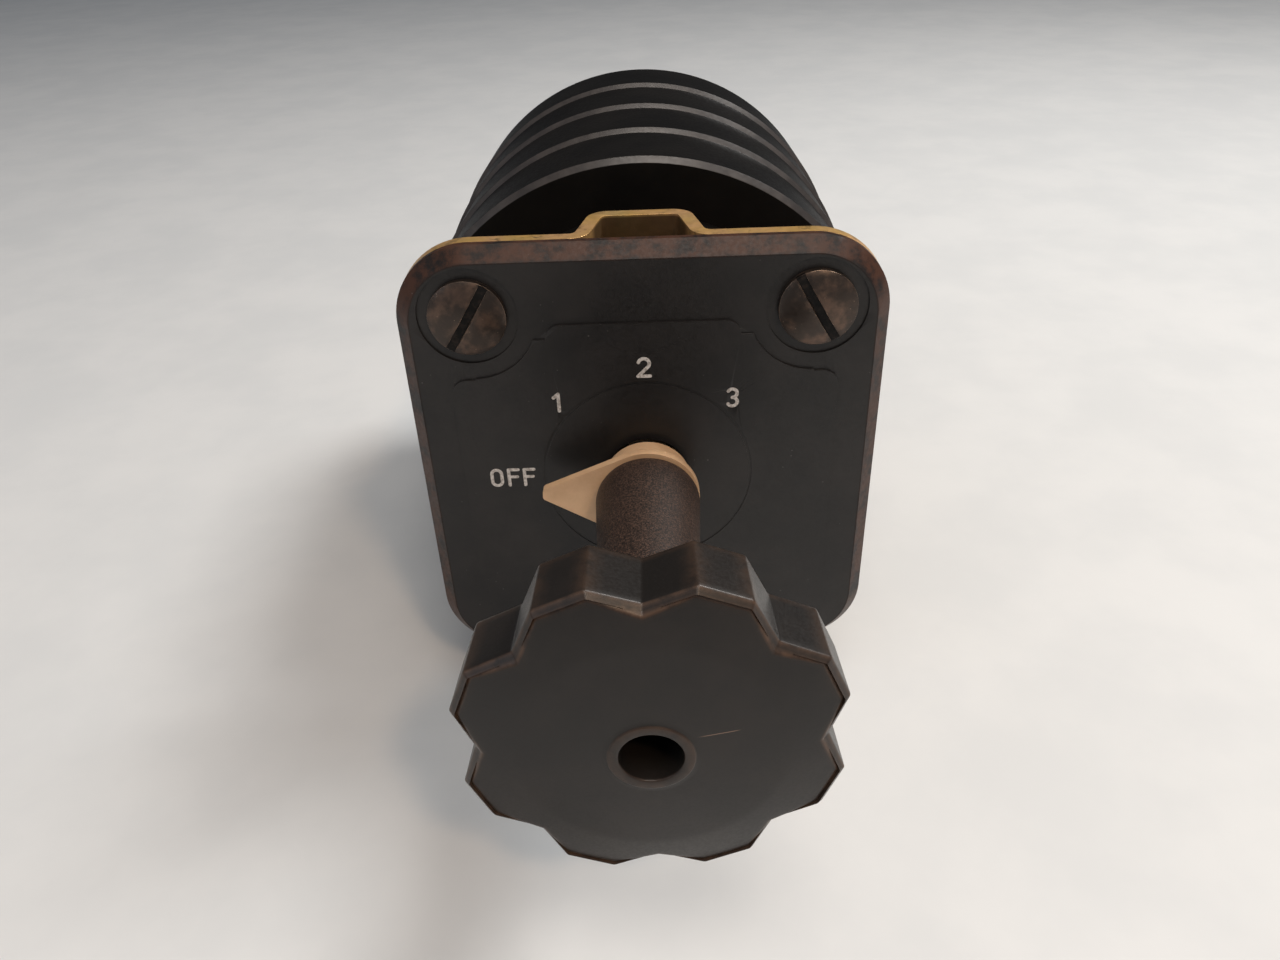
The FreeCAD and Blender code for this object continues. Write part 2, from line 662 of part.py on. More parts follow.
def shaft():
    drive = square_bar(DRIVE_SQUARE, SHAFT_FRONT_Y, JOURNAL_START_Y)
    front_journal = rod(JOURNAL_R, JOURNAL_START_Y, SQUARE_START_Y)
    bar = square_bar(SHAFT_SQUARE, SQUARE_START_Y, SQUARE_END_Y)
    bar = bar.common(rod(SHAFT_CORNER_R, SQUARE_START_Y, SQUARE_END_Y))
    rear_journal = rod(JOURNAL_R, SQUARE_END_Y, SHAFT_END_Y)
    groove = ring(JOURNAL_R + 1, GROOVE_R, GROOVE_Y, GROOVE_Y + GROOVE_W)
    tap = rod(HANDLE_SCREW_R, SHAFT_FRONT_Y - 1, SHAFT_FRONT_Y + HANDLE_SCREW_DEPTH)
    return drive.fuse(front_journal).fuse(bar).fuse(rear_journal).cut(groove).cut(tap)


# ---- detent and stops ---------------------------------------------------------------------------
def detent_housing():
    y0, y1 = STACK_FRONT_Y, DETENT_HOUSING_END_Y
    inner_y = y0 + DETENT_WEB_T
    body = rod(DETENT_R, y0, y1).cut(rod(DETENT_CAVITY_R, inner_y, y1 + 1))
    for x in (TIE_X, -TIE_X):
        foot_x = math.copysign(DETENT_CAVITY_R - 1, x)
        body = body.fuse(rod(TIE_LUG_R, y0, y1, x, 0))
        body = body.fuse(box(min(x, foot_x), max(x, foot_x), y0, y1, -TIE_LUG_R, TIE_LUG_R))
    for side in (1, -1):
        z0, z1 = sorted((side * GUIDE_START_R, side * (DETENT_CAVITY_R + 1)))
        body = body.fuse(box(-GUIDE_HALF_W, GUIDE_HALF_W, inner_y, y1, z0, z1))
    for x in (TIE_X, -TIE_X):
        body = body.cut(rod(TIE_HOLE_R, 0, y1 + 1, x, 0))
    for side in (1, -1):
        guide = Part.makeCylinder(PLUNGER_R + RUNNING_GAP, GUIDE_END_R - GUIDE_START_R + 1,
                                  Vector(0, PLUNGER_Y, side * (GUIDE_START_R - 1)), Vector(0, 0, side))
        body = body.cut(guide)
        body = body.cut(rod(CHANNEL_SCREW_R, 0, CHANNEL_SCREW_END_Y, 0, side * CHANNEL_SCREW_Z))
    body = body.cut(rod(BUSHING_R, 0, inner_y + 1))
    for pin in stop_pins():
        body = body.cut(pin)
    return body.removeSplitter()


def stop_pins():
    pins = []
    for angle in (ARM_REST_ANGLE + STOP_HALF_ANGLE, ARM_REST_ANGLE - TRAVEL - STOP_HALF_ANGLE):
        spot = polar(STOP_PIN_AT_R, angle)
        pins.append(rod(STOP_PIN_R, STACK_FRONT_Y + 0.6, WHEEL_Y - 0.3, spot.x, spot.z))
    return pins


def stop_arm():
    disc = rod(STOP_ARM_HUB_R, ARM_Y, ARM_Y + STOP_ARM_T)
    arm = box(0, STOP_ARM_R + 1, ARM_Y, ARM_Y + STOP_ARM_T, -STOP_ARM_HALF_W, STOP_ARM_HALF_W)
    arm = arm.common(rod(STOP_ARM_R, ARM_Y, ARM_Y + STOP_ARM_T))
    body = disc.fuse(turned(arm, ARM_REST_ANGLE))
    return body.cut(shaft_hole(ARM_Y - 1, ARM_Y + STOP_ARM_T + 1)).removeSplitter()


def shaft_hole(y0, y1):
    return square_bar(SHAFT_SQUARE, y0, y1)


def detent_wheel():
    wheel = rod(DETENT_PEAK_R, WHEEL_Y, WHEEL_Y + DETENT_WHEEL_T)
    cutter_r = PLUNGER_R + 0.4
    for index in range(DETENT_NOTCHES):
        spot = polar(DETENT_VALLEY_R + cutter_r, 90.0 + 360.0 / DETENT_NOTCHES * index)
        wheel = wheel.cut(rod(cutter_r, WHEEL_Y - 1, WHEEL_Y + DETENT_WHEEL_T + 1, spot.x, spot.z))
    return wheel.cut(shaft_hole(WHEEL_Y - 1, WHEEL_Y + DETENT_WHEEL_T + 1))


def detent_plunger(side):
    """A round-nosed plunger, bored from its tail for the spring; side is 1 at the top, -1 below."""
    out = Vector(0, 0, side)
    nose_centre = Vector(0, PLUNGER_Y, side * (NOSE_R + PLUNGER_R))
    body = Part.makeCylinder(PLUNGER_R, PLUNGER_L - PLUNGER_R, nose_centre, out)
    body = body.fuse(Part.makeSphere(PLUNGER_R, nose_centre))
    bore = Part.makeCylinder(PLUNGER_BORE_R, PLUNGER_L, nose_centre + out * SPRING_SEAT, out)
    return body.cut(bore).removeSplitter()


def detent_spring(side):
    """A compression spring from the bottom of the plunger's bore to the end of the guide."""
    start = NOSE_R + PLUNGER_R + SPRING_SEAT + SPRING_WIRE_R + 0.15
    height = GUIDE_END_R - SPRING_WIRE_R - start
    helix = Part.makeHelix(height / SPRING_TURNS, height, SPRING_COIL_R)
    circle = Part.Circle(Vector(SPRING_COIL_R, 0, 0), AXIS_Y, SPRING_WIRE_R).toShape()
    spring = Part.Wire(helix).makePipeShell([Part.Wire(circle)], True, True)
    spring.translate(Vector(0, PLUNGER_Y, start))
    if side < 0:
        spring.rotate(Vector(0, PLUNGER_Y, 0), AXIS_Y, 180.0)
    return spring


# ---- contact decks ------------------------------------------------------------------------------
def deck_front(index):
    return DETENT_HOUSING_END_Y + DECK_PITCH * index


def blade_middle(index):
    return deck_front(index) + WEB_T + (DECK_PITCH - WEB_T) / 2


def deck_housing(index):
    y0 = deck_front(index)
    y1 = y0 + DECK_PITCH
    floor_y = y0 + WEB_T
    shell = revolved([
        (0, y0),
        (STACK_R - DECK_CHAMFER, y0),
        (STACK_R, y0 + DECK_CHAMFER),
        (STACK_R - DECK_DRAFT, y1),
        (0, y1),
    ])
    # terminals stand on a flat, between full-round barriers left by the webs
    shell = shell.cut(box(-STACK_R, STACK_R, floor_y, y1, -STACK_R - 1, FLAT_Z))
    cavity = rod(CAVITY_R, floor_y, y1 + 1)
    cavity = cavity.cut(box(-STACK_R, STACK_R, floor_y - 1, y1 + 2, -STACK_R, FLOOR_Z))
    for x in (TIE_X, -TIE_X):
        cavity = cavity.cut(rod(TIE_BOSS_R, floor_y - 1, y1 + 2, x, 0))
    body = shell.cut(cavity).cut(rod(WEB_HOLE_R, y0 - 1, floor_y + 1))
    for x in (TIE_X, -TIE_X):
        body = body.cut(rod(TIE_HOLE_R, y0 - 1, y1 + 1, x, 0))
    for x in (TERMINAL_X, -TERMINAL_X):
        body = body.cut(stud_rod(STUD_R, FLAT_Z - 1, FLOOR_Z + 1, x, blade_middle(index)))
    return body.removeSplitter()


def stud_rod(r, z0, z1, x, y):
    return Part.makeCylinder(r, z1 - z0, Vector(x, y, z0))


def blade_angle(index):
    """Decks 1 to 3 close at the dial position of their number, deck 4 closes at OFF."""
    return STEP_ANGLE * ((index + 1) % DIAL_POSITIONS)


def blade_blank(index):
    """A straight blade with round ends and a round eye, before its square hole."""
    middle = blade_middle(index)
    y0, y1 = middle - BLADE_T / 2, middle + BLADE_T / 2
    bar = box(-BLADE_R - 1, BLADE_R + 1, y0, y1, -BLADE_W / 2, BLADE_W / 2).common(rod(BLADE_R, y0, y1))
    return turned(bar, blade_angle(index)).fuse(rod(BLADE_EYE_R, y0, y1)).removeSplitter()


def rotor(index):
    y0 = deck_front(index) + WEB_T + ROTOR_END_GAP
    y1 = deck_front(index) + DECK_PITCH - ROTOR_REAR_GAP
    middle = blade_middle(index)
    half = BLADE_T / 2
    body = rod(ROTOR_HUB_R, y0, y1)
    body = body.fuse(rod(ROTOR_FLANGE_R, middle - half - ROTOR_FLANGE_T, middle - half))
    body = body.fuse(rod(ROTOR_FLANGE_R, middle + half, middle + half + ROTOR_FLANGE_T))
    body = body.cut(shaft_hole(y0 - 1, y1 + 1))
    return body.cut(blade_blank(index)).removeSplitter()


def contact_blade(index):
    middle = blade_middle(index)
    return blade_blank(index).cut(shaft_hole(middle - BLADE_T, middle + BLADE_T))


def fixed_contact(index, side):
    """A strap from the terminal up to a pair of jaws that take the blade; side is 1 right, -1 left."""
    middle = blade_middle(index)
    half_w = STRAP_W / 2
    z_foot = FLOOR_Z + STRAP_T / 2
    route = [(STRAP_X, STRAP_TOP_Z), (STRAP_X, STRAP_BEND_Z),
             (TERMINAL_X + 3.6, z_foot), (TERMINAL_X - 4.6, z_foot)]
    strap = bent_strip(route, STRAP_T, middle - half_w, middle + half_w)
    inner = BLADE_T / 2 + JAW_GAP
    solids = [strap]
    for y0, y1 in ((middle - inner - JAW_T, middle - inner), (middle + inner, middle + inner + JAW_T)):
        solids.append(box(JAW_START_X, STRAP_X, y0, y1, -JAW_W / 2, JAW_W / 2))
    body = fused(solids)
    body = body.cut(stud_rod(STUD_R, FLOOR_Z - 1, FLOOR_Z + 3, TERMINAL_X, middle))
    if side < 0:
        body = body.mirror(Vector(0, 0, 0), Vector(1, 0, 0))
    return body


def bent_strip(route, thickness, y0, y1):
    """A strip of sheet along an open route in XZ, mitred at its bends."""
    half = thickness / 2
    left, right = [], []
    for i, (x, z) in enumerate(route):
        before = route[max(i - 1, 0)]
        after = route[min(i + 1, len(route) - 1)]
        here = (x, z)
        a = unit(before, here) if before != here else unit(here, after)
        b = unit(here, after) if after != here else a
        nx, nz = -(a[1] + b[1]), a[0] + b[0]
        scale = half / (math.hypot(nx, nz) / 2) / math.hypot(nx, nz)
        left.append(Vector(x + nx * scale, y0, z + nz * scale))
        right.append(Vector(x - nx * scale, y0, z - nz * scale))
    return prism(left + right[::-1], y1 - y0)


def unit(p, q):
    length = math.hypot(q[0] - p[0], q[1] - p[1])
    return ((q[0] - p[0]) / length, (q[1] - p[1]) / length)


def terminal_studs():
    """Round-headed studs from inside the deck, heads on the straps, free length below the nuts."""
    seat = FLOOR_Z + STRAP_T
    free_top = FLAT_Z - STUD_WASHER_T - STUD_NUT_H - STUD_FREE_GAP
    studs = []
    for x, index in TERMINALS:
        y = blade_middle(index)
        free = stud_rod(STUD_FREE_R, STUD_TIP_Z, free_top, x, y)
        tips = [e for e in free.Edges if abs(e.CenterOfMass.z - STUD_TIP_Z) < 1e-6 and len(e.Vertexes) == 1]
        free = free.makeChamfer(STUD_TIP_CHAMFER, tips)
        shank = stud_rod(STUD_R, free_top, seat, x, y)
        head = stud_rod(STUD_HEAD_R, seat, seat + STUD_HEAD_H, x, y)
        studs.append(fused([free, shank, head]))
    return studs


def terminal_washers():
    washers = []
    for x, index in TERMINALS:
        y = blade_middle(index)
        disc = stud_rod(STUD_WASHER_R, FLAT_Z - STUD_WASHER_T, FLAT_Z, x, y)
        washers.append(disc.cut(stud_rod(STUD_R, FLAT_Z - 2, FLAT_Z + 1, x, y)))
    return washers


def terminal_nuts():
    top = FLAT_Z - STUD_WASHER_T
    corner_r = STUD_NUT_AF / math.sqrt(3.0)
    nuts = []
    for x, index in TERMINALS:
        y = blade_middle(index)
        points = []
        for i in range(6):
            a = math.radians(60.0 * i)
            points.append(Vector(x + corner_r * math.cos(a), y + corner_r * math.sin(a), top - STUD_NUT_H))
        nut = Part.Face(Part.makePolygon(points + [points[0]])).extrude(Vector(0, 0, STUD_NUT_H))
        nuts.append(nut.cut(stud_rod(STUD_R, top - STUD_NUT_H - 1, top + 1, x, y)))
    return nuts


# ---- rear end and tie bolts ---------------------------------------------------------------------
def rear_cover():
    disc = rod(COVER_R, STACK_END_Y, COVER_END_Y)
    disc = disc.cut(box(-COVER_R, COVER_R, STACK_END_Y - 1, COVER_END_Y + 1, -COVER_R - 1, FLAT_Z))
    body = disc.fuse(rod(COVER_BOSS_R, COVER_END_Y, COVER_END_Y + COVER_BOSS_H))
    body = body.cut(rod(REAR_BUSHING_R, STACK_END_Y - 1, COVER_END_Y + COVER_BOSS_H + 1))
    for x in (TIE_X, -TIE_X):
        body = body.cut(rod(TIE_HOLE_R, STACK_END_Y - 1, COVER_END_Y + 1, x, 0))
    return body.removeSplitter()


def rear_bushing():
    return ring(REAR_BUSHING_R, JOURNAL_R + RUNNING_GAP, STACK_END_Y, COVER_END_Y + COVER_BOSS_H)


def thrust_washer():
    return ring(THRUST_WASHER_R, JOURNAL_R, SQUARE_END_Y, STACK_END_Y - THRUST_WASHER_GAP)


def retaining_ring():
    """Open ring in the shaft's groove, behind the rear bushing."""
    body = ring(RETAINING_RING_R, GROOVE_R, GROOVE_Y, GROOVE_Y + GROOVE_W)
    half = RETAINING_RING_GAP / 2
    mouth = box(-half, half, GROOVE_Y - 1, GROOVE_Y + GROOVE_W + 1, -RETAINING_RING_R - 1, 0)
    return body.cut(mouth)


def tie_bolts():
    end = COVER_END_Y + TIE_END
    bolts = []
    for x, angle in ((TIE_X, 25.0), (-TIE_X, -40.0)):
        head = slotted_head(TIE_HEAD_R, TIE_HEAD_EDGE, TIE_HEAD_H, TIE_SLOT_W, TIE_SLOT_DEPTH, angle)
        head.translate(Vector(0, STACK_FRONT_Y, 0))
        bolt = head.fuse(rod(TIE_R, STACK_FRONT_Y, end))
        bolt.translate(Vector(x, 0, 0))
        bolts.append(bolt)
    return bolts


def tie_washers():
    """Split lock washers under the nuts."""
    washers = []
    half = LOCK_WASHER_CUT / 2
    for x in (TIE_X, -TIE_X):
        washer = ring(TIE_WASHER_R, TIE_R, COVER_END_Y, COVER_END_Y + TIE_WASHER_T, x, 0)
        split = box(x + 1, x + TIE_WASHER_R + 1, COVER_END_Y - 1, COVER_END_Y + TIE_WASHER_T + 1, -half, half)
        washers.append(washer.cut(split))
    return washers


def tie_nuts():
    y0 = COVER_END_Y + TIE_WASHER_T
    nuts = []
    for x in (TIE_X, -TIE_X):
        nut = hexagon(TIE_NUT_AF, y0, y0 + TIE_NUT_H, x, 0)
        nuts.append(nut.cut(rod(TIE_R, y0 - 1, y0 + TIE_NUT_H + 1, x, 0)))
    return nuts


# ---- write every node ---------------------------------------------------------------------------
def write(node, shape):
    solids = shape if isinstance(shape, list) else [shape]
    body = Part.Compound([solid for item in solids for solid in item.Solids])
    if not body.Solids or not body.isValid():
        raise ValueError("bad shape in " + node)
    if len(body.Solids) == 1:
        body = body.Solids[0]
    body.exportStep(os.path.join("parts", node + ".step"))
    print("%-24s solids %2d  volume %9.1f mm3" % (node, len(body.Solids), body.Volume))


def main():
    os.makedirs("parts", exist_ok=True)
    figures = dial_figures()
    write("escutcheon", escutcheon(figures))
    write("dial_figures", figures)
    write("panel_screws", panel_screws())
    write("mounting_plate", mounting_plate())
    write("clinch_nuts", clinch_nuts())
    write("channel_screws", channel_screws())
    write("front_bushing", front_bushing())
    write("knob", knob())
    write("knob_insert", knob_insert())
    write("handle_washer", handle_washer())
    write("handle_screw", handle_screw())
    write("pointer", pointer())
    write("shaft", shaft())
    write("detent_housing", detent_housing())
    write("stop_pins", stop_pins())
    write("stop_arm", stop_arm())
    write("detent_wheel", detent_wheel())
    for side, name in ((1, "upper"), (-1, "lower")):
        write("detent_plunger_" + name, detent_plunger(side))
        write("detent_spring_" + name, detent_spring(side))
    for index in range(DECK_COUNT):
        number = str(index + 1)
        write("deck_housing_" + number, deck_housing(index))
        write("rotor_" + number, rotor(index))
        write("contact_blade_" + number, contact_blade(index))
        write("fixed_contact_right_" + number, fixed_contact(index, 1))
        write("fixed_contact_left_" + number, fixed_contact(index, -1))
    write("terminal_studs", terminal_studs())
    write("terminal_washers", terminal_washers())
    write("terminal_nuts", terminal_nuts())
    write("rear_cover", rear_cover())
    write("rear_bushing", rear_bushing())
    write("thrust_washer", thrust_washer())
    write("retaining_ring", retaining_ring())
    write("tie_bolts", tie_bolts())
    write("tie_washers", tie_washers())
    write("tie_nuts", tie_nuts())


main()
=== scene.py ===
import json
import math
import random

import bmesh
import bpy
from mathutils import Matrix, Vector


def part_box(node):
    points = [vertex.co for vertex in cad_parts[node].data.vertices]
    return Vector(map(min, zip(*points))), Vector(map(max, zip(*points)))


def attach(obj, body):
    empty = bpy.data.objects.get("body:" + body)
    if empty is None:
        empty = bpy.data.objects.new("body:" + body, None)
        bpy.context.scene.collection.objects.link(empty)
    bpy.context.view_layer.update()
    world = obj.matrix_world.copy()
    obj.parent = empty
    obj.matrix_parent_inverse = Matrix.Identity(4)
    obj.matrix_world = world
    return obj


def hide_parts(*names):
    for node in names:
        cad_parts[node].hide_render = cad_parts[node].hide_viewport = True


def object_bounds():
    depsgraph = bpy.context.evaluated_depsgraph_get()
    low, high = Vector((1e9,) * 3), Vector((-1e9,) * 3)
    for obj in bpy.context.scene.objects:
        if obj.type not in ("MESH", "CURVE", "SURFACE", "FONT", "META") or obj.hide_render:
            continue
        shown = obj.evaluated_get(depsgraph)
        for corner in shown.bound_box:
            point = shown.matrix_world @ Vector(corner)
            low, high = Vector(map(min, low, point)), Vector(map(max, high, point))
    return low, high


# Looks of a panel-mounted rotary battery selector switch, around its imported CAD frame.
# Metres, +X right, +Y from the knob back through the panel, +Z up. The shaft axis is the Y axis.

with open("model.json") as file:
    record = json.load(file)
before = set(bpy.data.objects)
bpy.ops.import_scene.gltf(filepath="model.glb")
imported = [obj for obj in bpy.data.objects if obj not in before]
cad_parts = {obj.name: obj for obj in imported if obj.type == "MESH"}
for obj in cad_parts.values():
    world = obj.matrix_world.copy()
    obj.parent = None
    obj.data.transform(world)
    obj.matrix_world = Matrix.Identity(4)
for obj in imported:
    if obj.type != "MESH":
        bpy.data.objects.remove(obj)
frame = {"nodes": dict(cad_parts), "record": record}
cad_low, cad_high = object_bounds()

MM = 0.001
TURN = 2 * math.pi


# ---- camera, floor and light --------------------------------------------------------------------
CAMERA_PLACE = Vector((1.31, -119.58, 75.23)) * MM
CAMERA_YAW = math.radians(-1.18)
CAMERA_PITCH = math.radians(33.22)
CAMERA_ROLL = math.radians(-2.27)
CAMERA_LENS = 27.93
SENSOR_WIDTH = 36.0
FLOOR_HALF_WIDTH = 3.0
FLOOR_GAP = 0.05 * MM       # floor below the lowest point of the part
WORLD_STRENGTH = 0.22
SKY_NEAR = (0.78, 0.85, 0.95, 1)
SKY_FAR = (0.16, 0.17, 0.19, 1)
LIGHTS_AIM = (0, 0.02, 0)
# name, place, width and height, watts, colour
AREA_LIGHTS = (
    ("key", (0.42, 0.20, 0.62), (0.28, 0.24), 4.2, (1.0, 0.98, 0.95)),
    ("overhead", (0.06, -0.26, 0.72), (0.34, 0.34), 2.1, (1.0, 0.92, 0.84)),
    ("lamp", (0.26, -0.52, 0.62), (0.07, 0.07), 1.3, (1.0, 0.70, 0.46)),
    ("fill", (-0.70, -0.40, 0.40), (0.5, 0.4), 0.6, (0.84, 0.90, 1.0)),
)


def add_camera():
    ahead = Vector((
        math.sin(CAMERA_YAW) * math.cos(CAMERA_PITCH),
        math.cos(CAMERA_YAW) * math.cos(CAMERA_PITCH),
        -math.sin(CAMERA_PITCH),
    ))
    right = Vector((math.cos(CAMERA_YAW), -math.sin(CAMERA_YAW), 0))
    up = right.cross(ahead)
    rolled_right = right * math.cos(CAMERA_ROLL) + up * math.sin(CAMERA_ROLL)
    rolled_up = up * math.cos(CAMERA_ROLL) - right * math.sin(CAMERA_ROLL)
    data = bpy.data.cameras.new("camera")
    data.lens = CAMERA_LENS
    data.sensor_width = SENSOR_WIDTH
    data.clip_start = 1 * MM
    camera = bpy.data.objects.new("camera", data)
    camera.matrix_world = Matrix((rolled_right, rolled_up, -ahead)).transposed().to_4x4()
    camera.location = CAMERA_PLACE
    bpy.context.scene.collection.objects.link(camera)
    bpy.context.scene.camera = camera


def add_area_light(name, place, size, watts, colour):
    data = bpy.data.lights.new(name, "AREA")
    data.shape = "RECTANGLE"
    data.size, data.size_y = size
    data.energy = watts
    data.color = colour
    light = bpy.data.objects.new(name, data)
    light.location = place
    light.rotation_mode = "QUATERNION"
    light.rotation_quaternion = (Vector(LIGHTS_AIM) - Vector(place)).to_track_quat("-Z", "Y")
    bpy.context.scene.collection.objects.link(light)


def add_lights():
    world = bpy.data.worlds.new("studio")
    world.use_nodes = True
    tree = world.node_tree
    background = tree.nodes["Background"]
    background.inputs["Strength"].default_value = WORLD_STRENGTH
    # dimmer towards the back, where the stack's tops mirror it
    split = tree.nodes.new("ShaderNodeSeparateXYZ")
    tree.links.new(tree.nodes.new("ShaderNodeTexCoord").outputs["Generated"], split.inputs[0])
    ramp = tree.nodes.new("ShaderNodeMapRange")
    ramp.interpolation_type = "SMOOTHSTEP"
    ramp.inputs["From Min"].default_value = 0.25
    ramp.inputs["From Max"].default_value = 0.85
    tree.links.new(split.outputs["Y"], ramp.inputs["Value"])
    tint = tree.nodes.new("ShaderNodeMix")
    tint.data_type = "RGBA"
    tint.inputs[6].default_value = SKY_NEAR
    tint.inputs[7].default_value = SKY_FAR
    tree.links.new(ramp.outputs[0], tint.inputs["Factor"])
    tree.links.new(tint.outputs[2], background.inputs["Color"])
    bpy.context.scene.world = world
    for light in AREA_LIGHTS:
        add_area_light(*light)
    bpy.context.scene.view_settings.view_transform = "Standard"


# ---- node helpers -------------------------------------------------------------------------------
class Finish:
    """One material's node tree, with short calls for the nodes used here."""

    def __init__(self, name):
        self.material = bpy.data.materials.new(name)
        self.material.use_nodes = True
        self.tree = self.material.node_tree
        self.tree.nodes.clear()
        self.shader = self.tree.nodes.new("ShaderNodeBsdfPrincipled")
        output = self.tree.nodes.new("ShaderNodeOutputMaterial")
        self.link(self.shader.outputs[0], output.inputs[0])
        self.place = self.tree.nodes.new("ShaderNodeTexCoord").outputs["Object"]

    def link(self, source, target):
        self.tree.links.new(source, target)

    def feed(self, socket, value):
        if isinstance(value, bpy.types.NodeSocket):
            self.link(value, socket)
        elif isinstance(value, tuple) and len(value) == 3 and socket.type == "RGBA":
            socket.default_value = (*value, 1)
        else:
            socket.default_value = value

    def set(self, **values):
        """Feeds the shader: base_color, roughness, metallic and so on."""
        for key, value in values.items():
            self.feed(self.shader.inputs[key.replace("_", " ").title().replace("Ior", "IOR")], value)

    def noise(self, size, detail=3.0, roughness=0.6):
        """Noise with features about this many metres across."""
        node = self.tree.nodes.new("ShaderNodeTexNoise")
        node.inputs["Scale"].default_value = 1 / size
        node.inputs["Detail"].default_value = detail
        node.inputs["Roughness"].default_value = roughness
        self.link(self.place, node.inputs["Vector"])
        return node.outputs["Fac"]

    def cells(self, size):
        """Distance to the nearest of many scattered points."""
        node = self.tree.nodes.new("ShaderNodeTexVoronoi")
        node.inputs["Scale"].default_value = 1 / size
        node.inputs["Randomness"].default_value = 1.0
        self.link(self.place, node.inputs["Vector"])
        return node.outputs["Distance"]

    def span(self, value, low, high, to_low=0.0, to_high=1.0):
        """Maps low..high smoothly to to_low..to_high, and holds the ends."""
        node = self.tree.nodes.new("ShaderNodeMapRange")
        node.interpolation_type = "SMOOTHSTEP"
        self.feed(node.inputs["Value"], value)
        node.inputs["From Min"].default_value = low
        node.inputs["From Max"].default_value = high
        node.inputs["To Min"].default_value = to_low
        node.inputs["To Max"].default_value = to_high
        return node.outputs["Result"]

    def calc(self, operation, a, b=0.0):
        node = self.tree.nodes.new("ShaderNodeMath")
        node.operation = operation
        self.feed(node.inputs[0], a)
        self.feed(node.inputs[1], b)
        return node.outputs[0]

    def mix(self, factor, a, b):
        node = self.tree.nodes.new("ShaderNodeMix")
        node.data_type = "RGBA"
        self.feed(node.inputs["Factor"], factor)
        self.feed(node.inputs[6], a)
        self.feed(node.inputs[7], b)
        return node.outputs[2]

    def axis(self, letter):
        node = self.tree.nodes.new("ShaderNodeSeparateXYZ")
        self.link(self.place, node.inputs[0])
        return node.outputs[letter]

    def weighted(self, x, x_factor, z, z_factor):
        """x * x_factor + z * z_factor."""
        return self.calc("ADD", self.calc("MULTIPLY", x, x_factor), self.calc("MULTIPLY", z, z_factor))

    def less(self, x, x_factor, z, z_factor):
        """x * x_factor - z * z_factor."""
        return self.calc("SUBTRACT", self.calc("MULTIPLY", x, x_factor), self.calc("MULTIPLY", z, z_factor))

    def radius(self):
        """Distance from the shaft axis."""
        x, z = self.axis("X"), self.axis("Z")
        return self.calc("SQRT", self.weighted(x, x, z, z))

    def inside(self, half_x, half_z, corner):
        """Depth inside a rounded rectangle about the shaft axis, zero on its outline."""
        x = self.calc("SUBTRACT", self.calc("ABSOLUTE", self.axis("X")), half_x - corner)
        z = self.calc("SUBTRACT", self.calc("ABSOLUTE", self.axis("Z")), half_z - corner)
        out_x, out_z = self.calc("MAXIMUM", x, 0.0), self.calc("MAXIMUM", z, 0.0)
        square = self.weighted(out_x, out_x, out_z, out_z)
        flat = self.calc("MINIMUM", self.calc("MAXIMUM", x, z), 0.0)
        return self.calc("SUBTRACT", corner, self.calc("ADD", self.calc("SQRT", square), flat))

    def line(self, start, end, half_width):
        """A thin straight mark on the face between two (x, z) places."""
        sx, sz = start
        dx, dz = end[0] - sx, end[1] - sz
        length = math.hypot(dx, dz)
        x, z = self.calc("SUBTRACT", self.axis("X"), sx), self.calc("SUBTRACT", self.axis("Z"), sz)
        along = self.weighted(x, dx / length, z, dz / length)
        across = self.less(z, dx / length, x, dz / length)
        near = self.span(self.calc("ABSOLUTE", across), half_width, half_width * 0.4)
        start_fade = self.span(along, 0.0, length * 0.3)
        end_fade = self.span(along, length, length * 0.8)
        return self.calc("MULTIPLY", near, self.calc("MULTIPLY", start_fade, end_fade))

    def band(self, x, z, angle, half_width, reach):
        """A straight band through (x, z), out to a distance from it."""
        dx, dz = math.cos(angle), math.sin(angle)
        x, z = self.calc("SUBTRACT", self.axis("X"), x), self.calc("SUBTRACT", self.axis("Z"), z)
        across = self.calc("ABSOLUTE", self.less(z, dx, x, dz))
        along = self.calc("ABSOLUTE", self.weighted(x, dx, z, dz))
        return self.calc("MULTIPLY", self.span(across, half_width * 1.03, half_width * 0.97),
                         self.span(along, reach, reach * 0.98))

    def attribute(self, name):
        node = self.tree.nodes.new("ShaderNodeAttribute")
        node.attribute_name = name
        return node.outputs["Fac"]

    def bump(self, height, distance, strength):
        node = self.tree.nodes.new("ShaderNodeBump")
        node.inputs["Distance"].default_value = distance
        node.inputs["Strength"].default_value = strength
        self.link(height, node.inputs["Height"])
        return node.outputs[0]


# ---- materials ----------------------------------------------------------------------------------
PLATE_CORNER = 10.2 * MM
SCRATCH_START = (4.3 * MM, 2.6 * MM)        # x and z on the knob's face
SCRATCH_END = (8.8 * MM, 3.3 * MM)
SCRATCH_HALF_WIDTH = 0.07 * MM
# x and z of each panel screw in millimetres, and the angle of its slot in degrees, where the slots' painted
# shade goes
SCREW_SLOTS = ((-22.2, 24.2, 58.0), (22.2, 24.2, -60.0), (0.0, -24.2, 15.0))
SLOT_HALF_WIDTH = 0.62 * MM
SLOT_REACH = 5.2 * MM


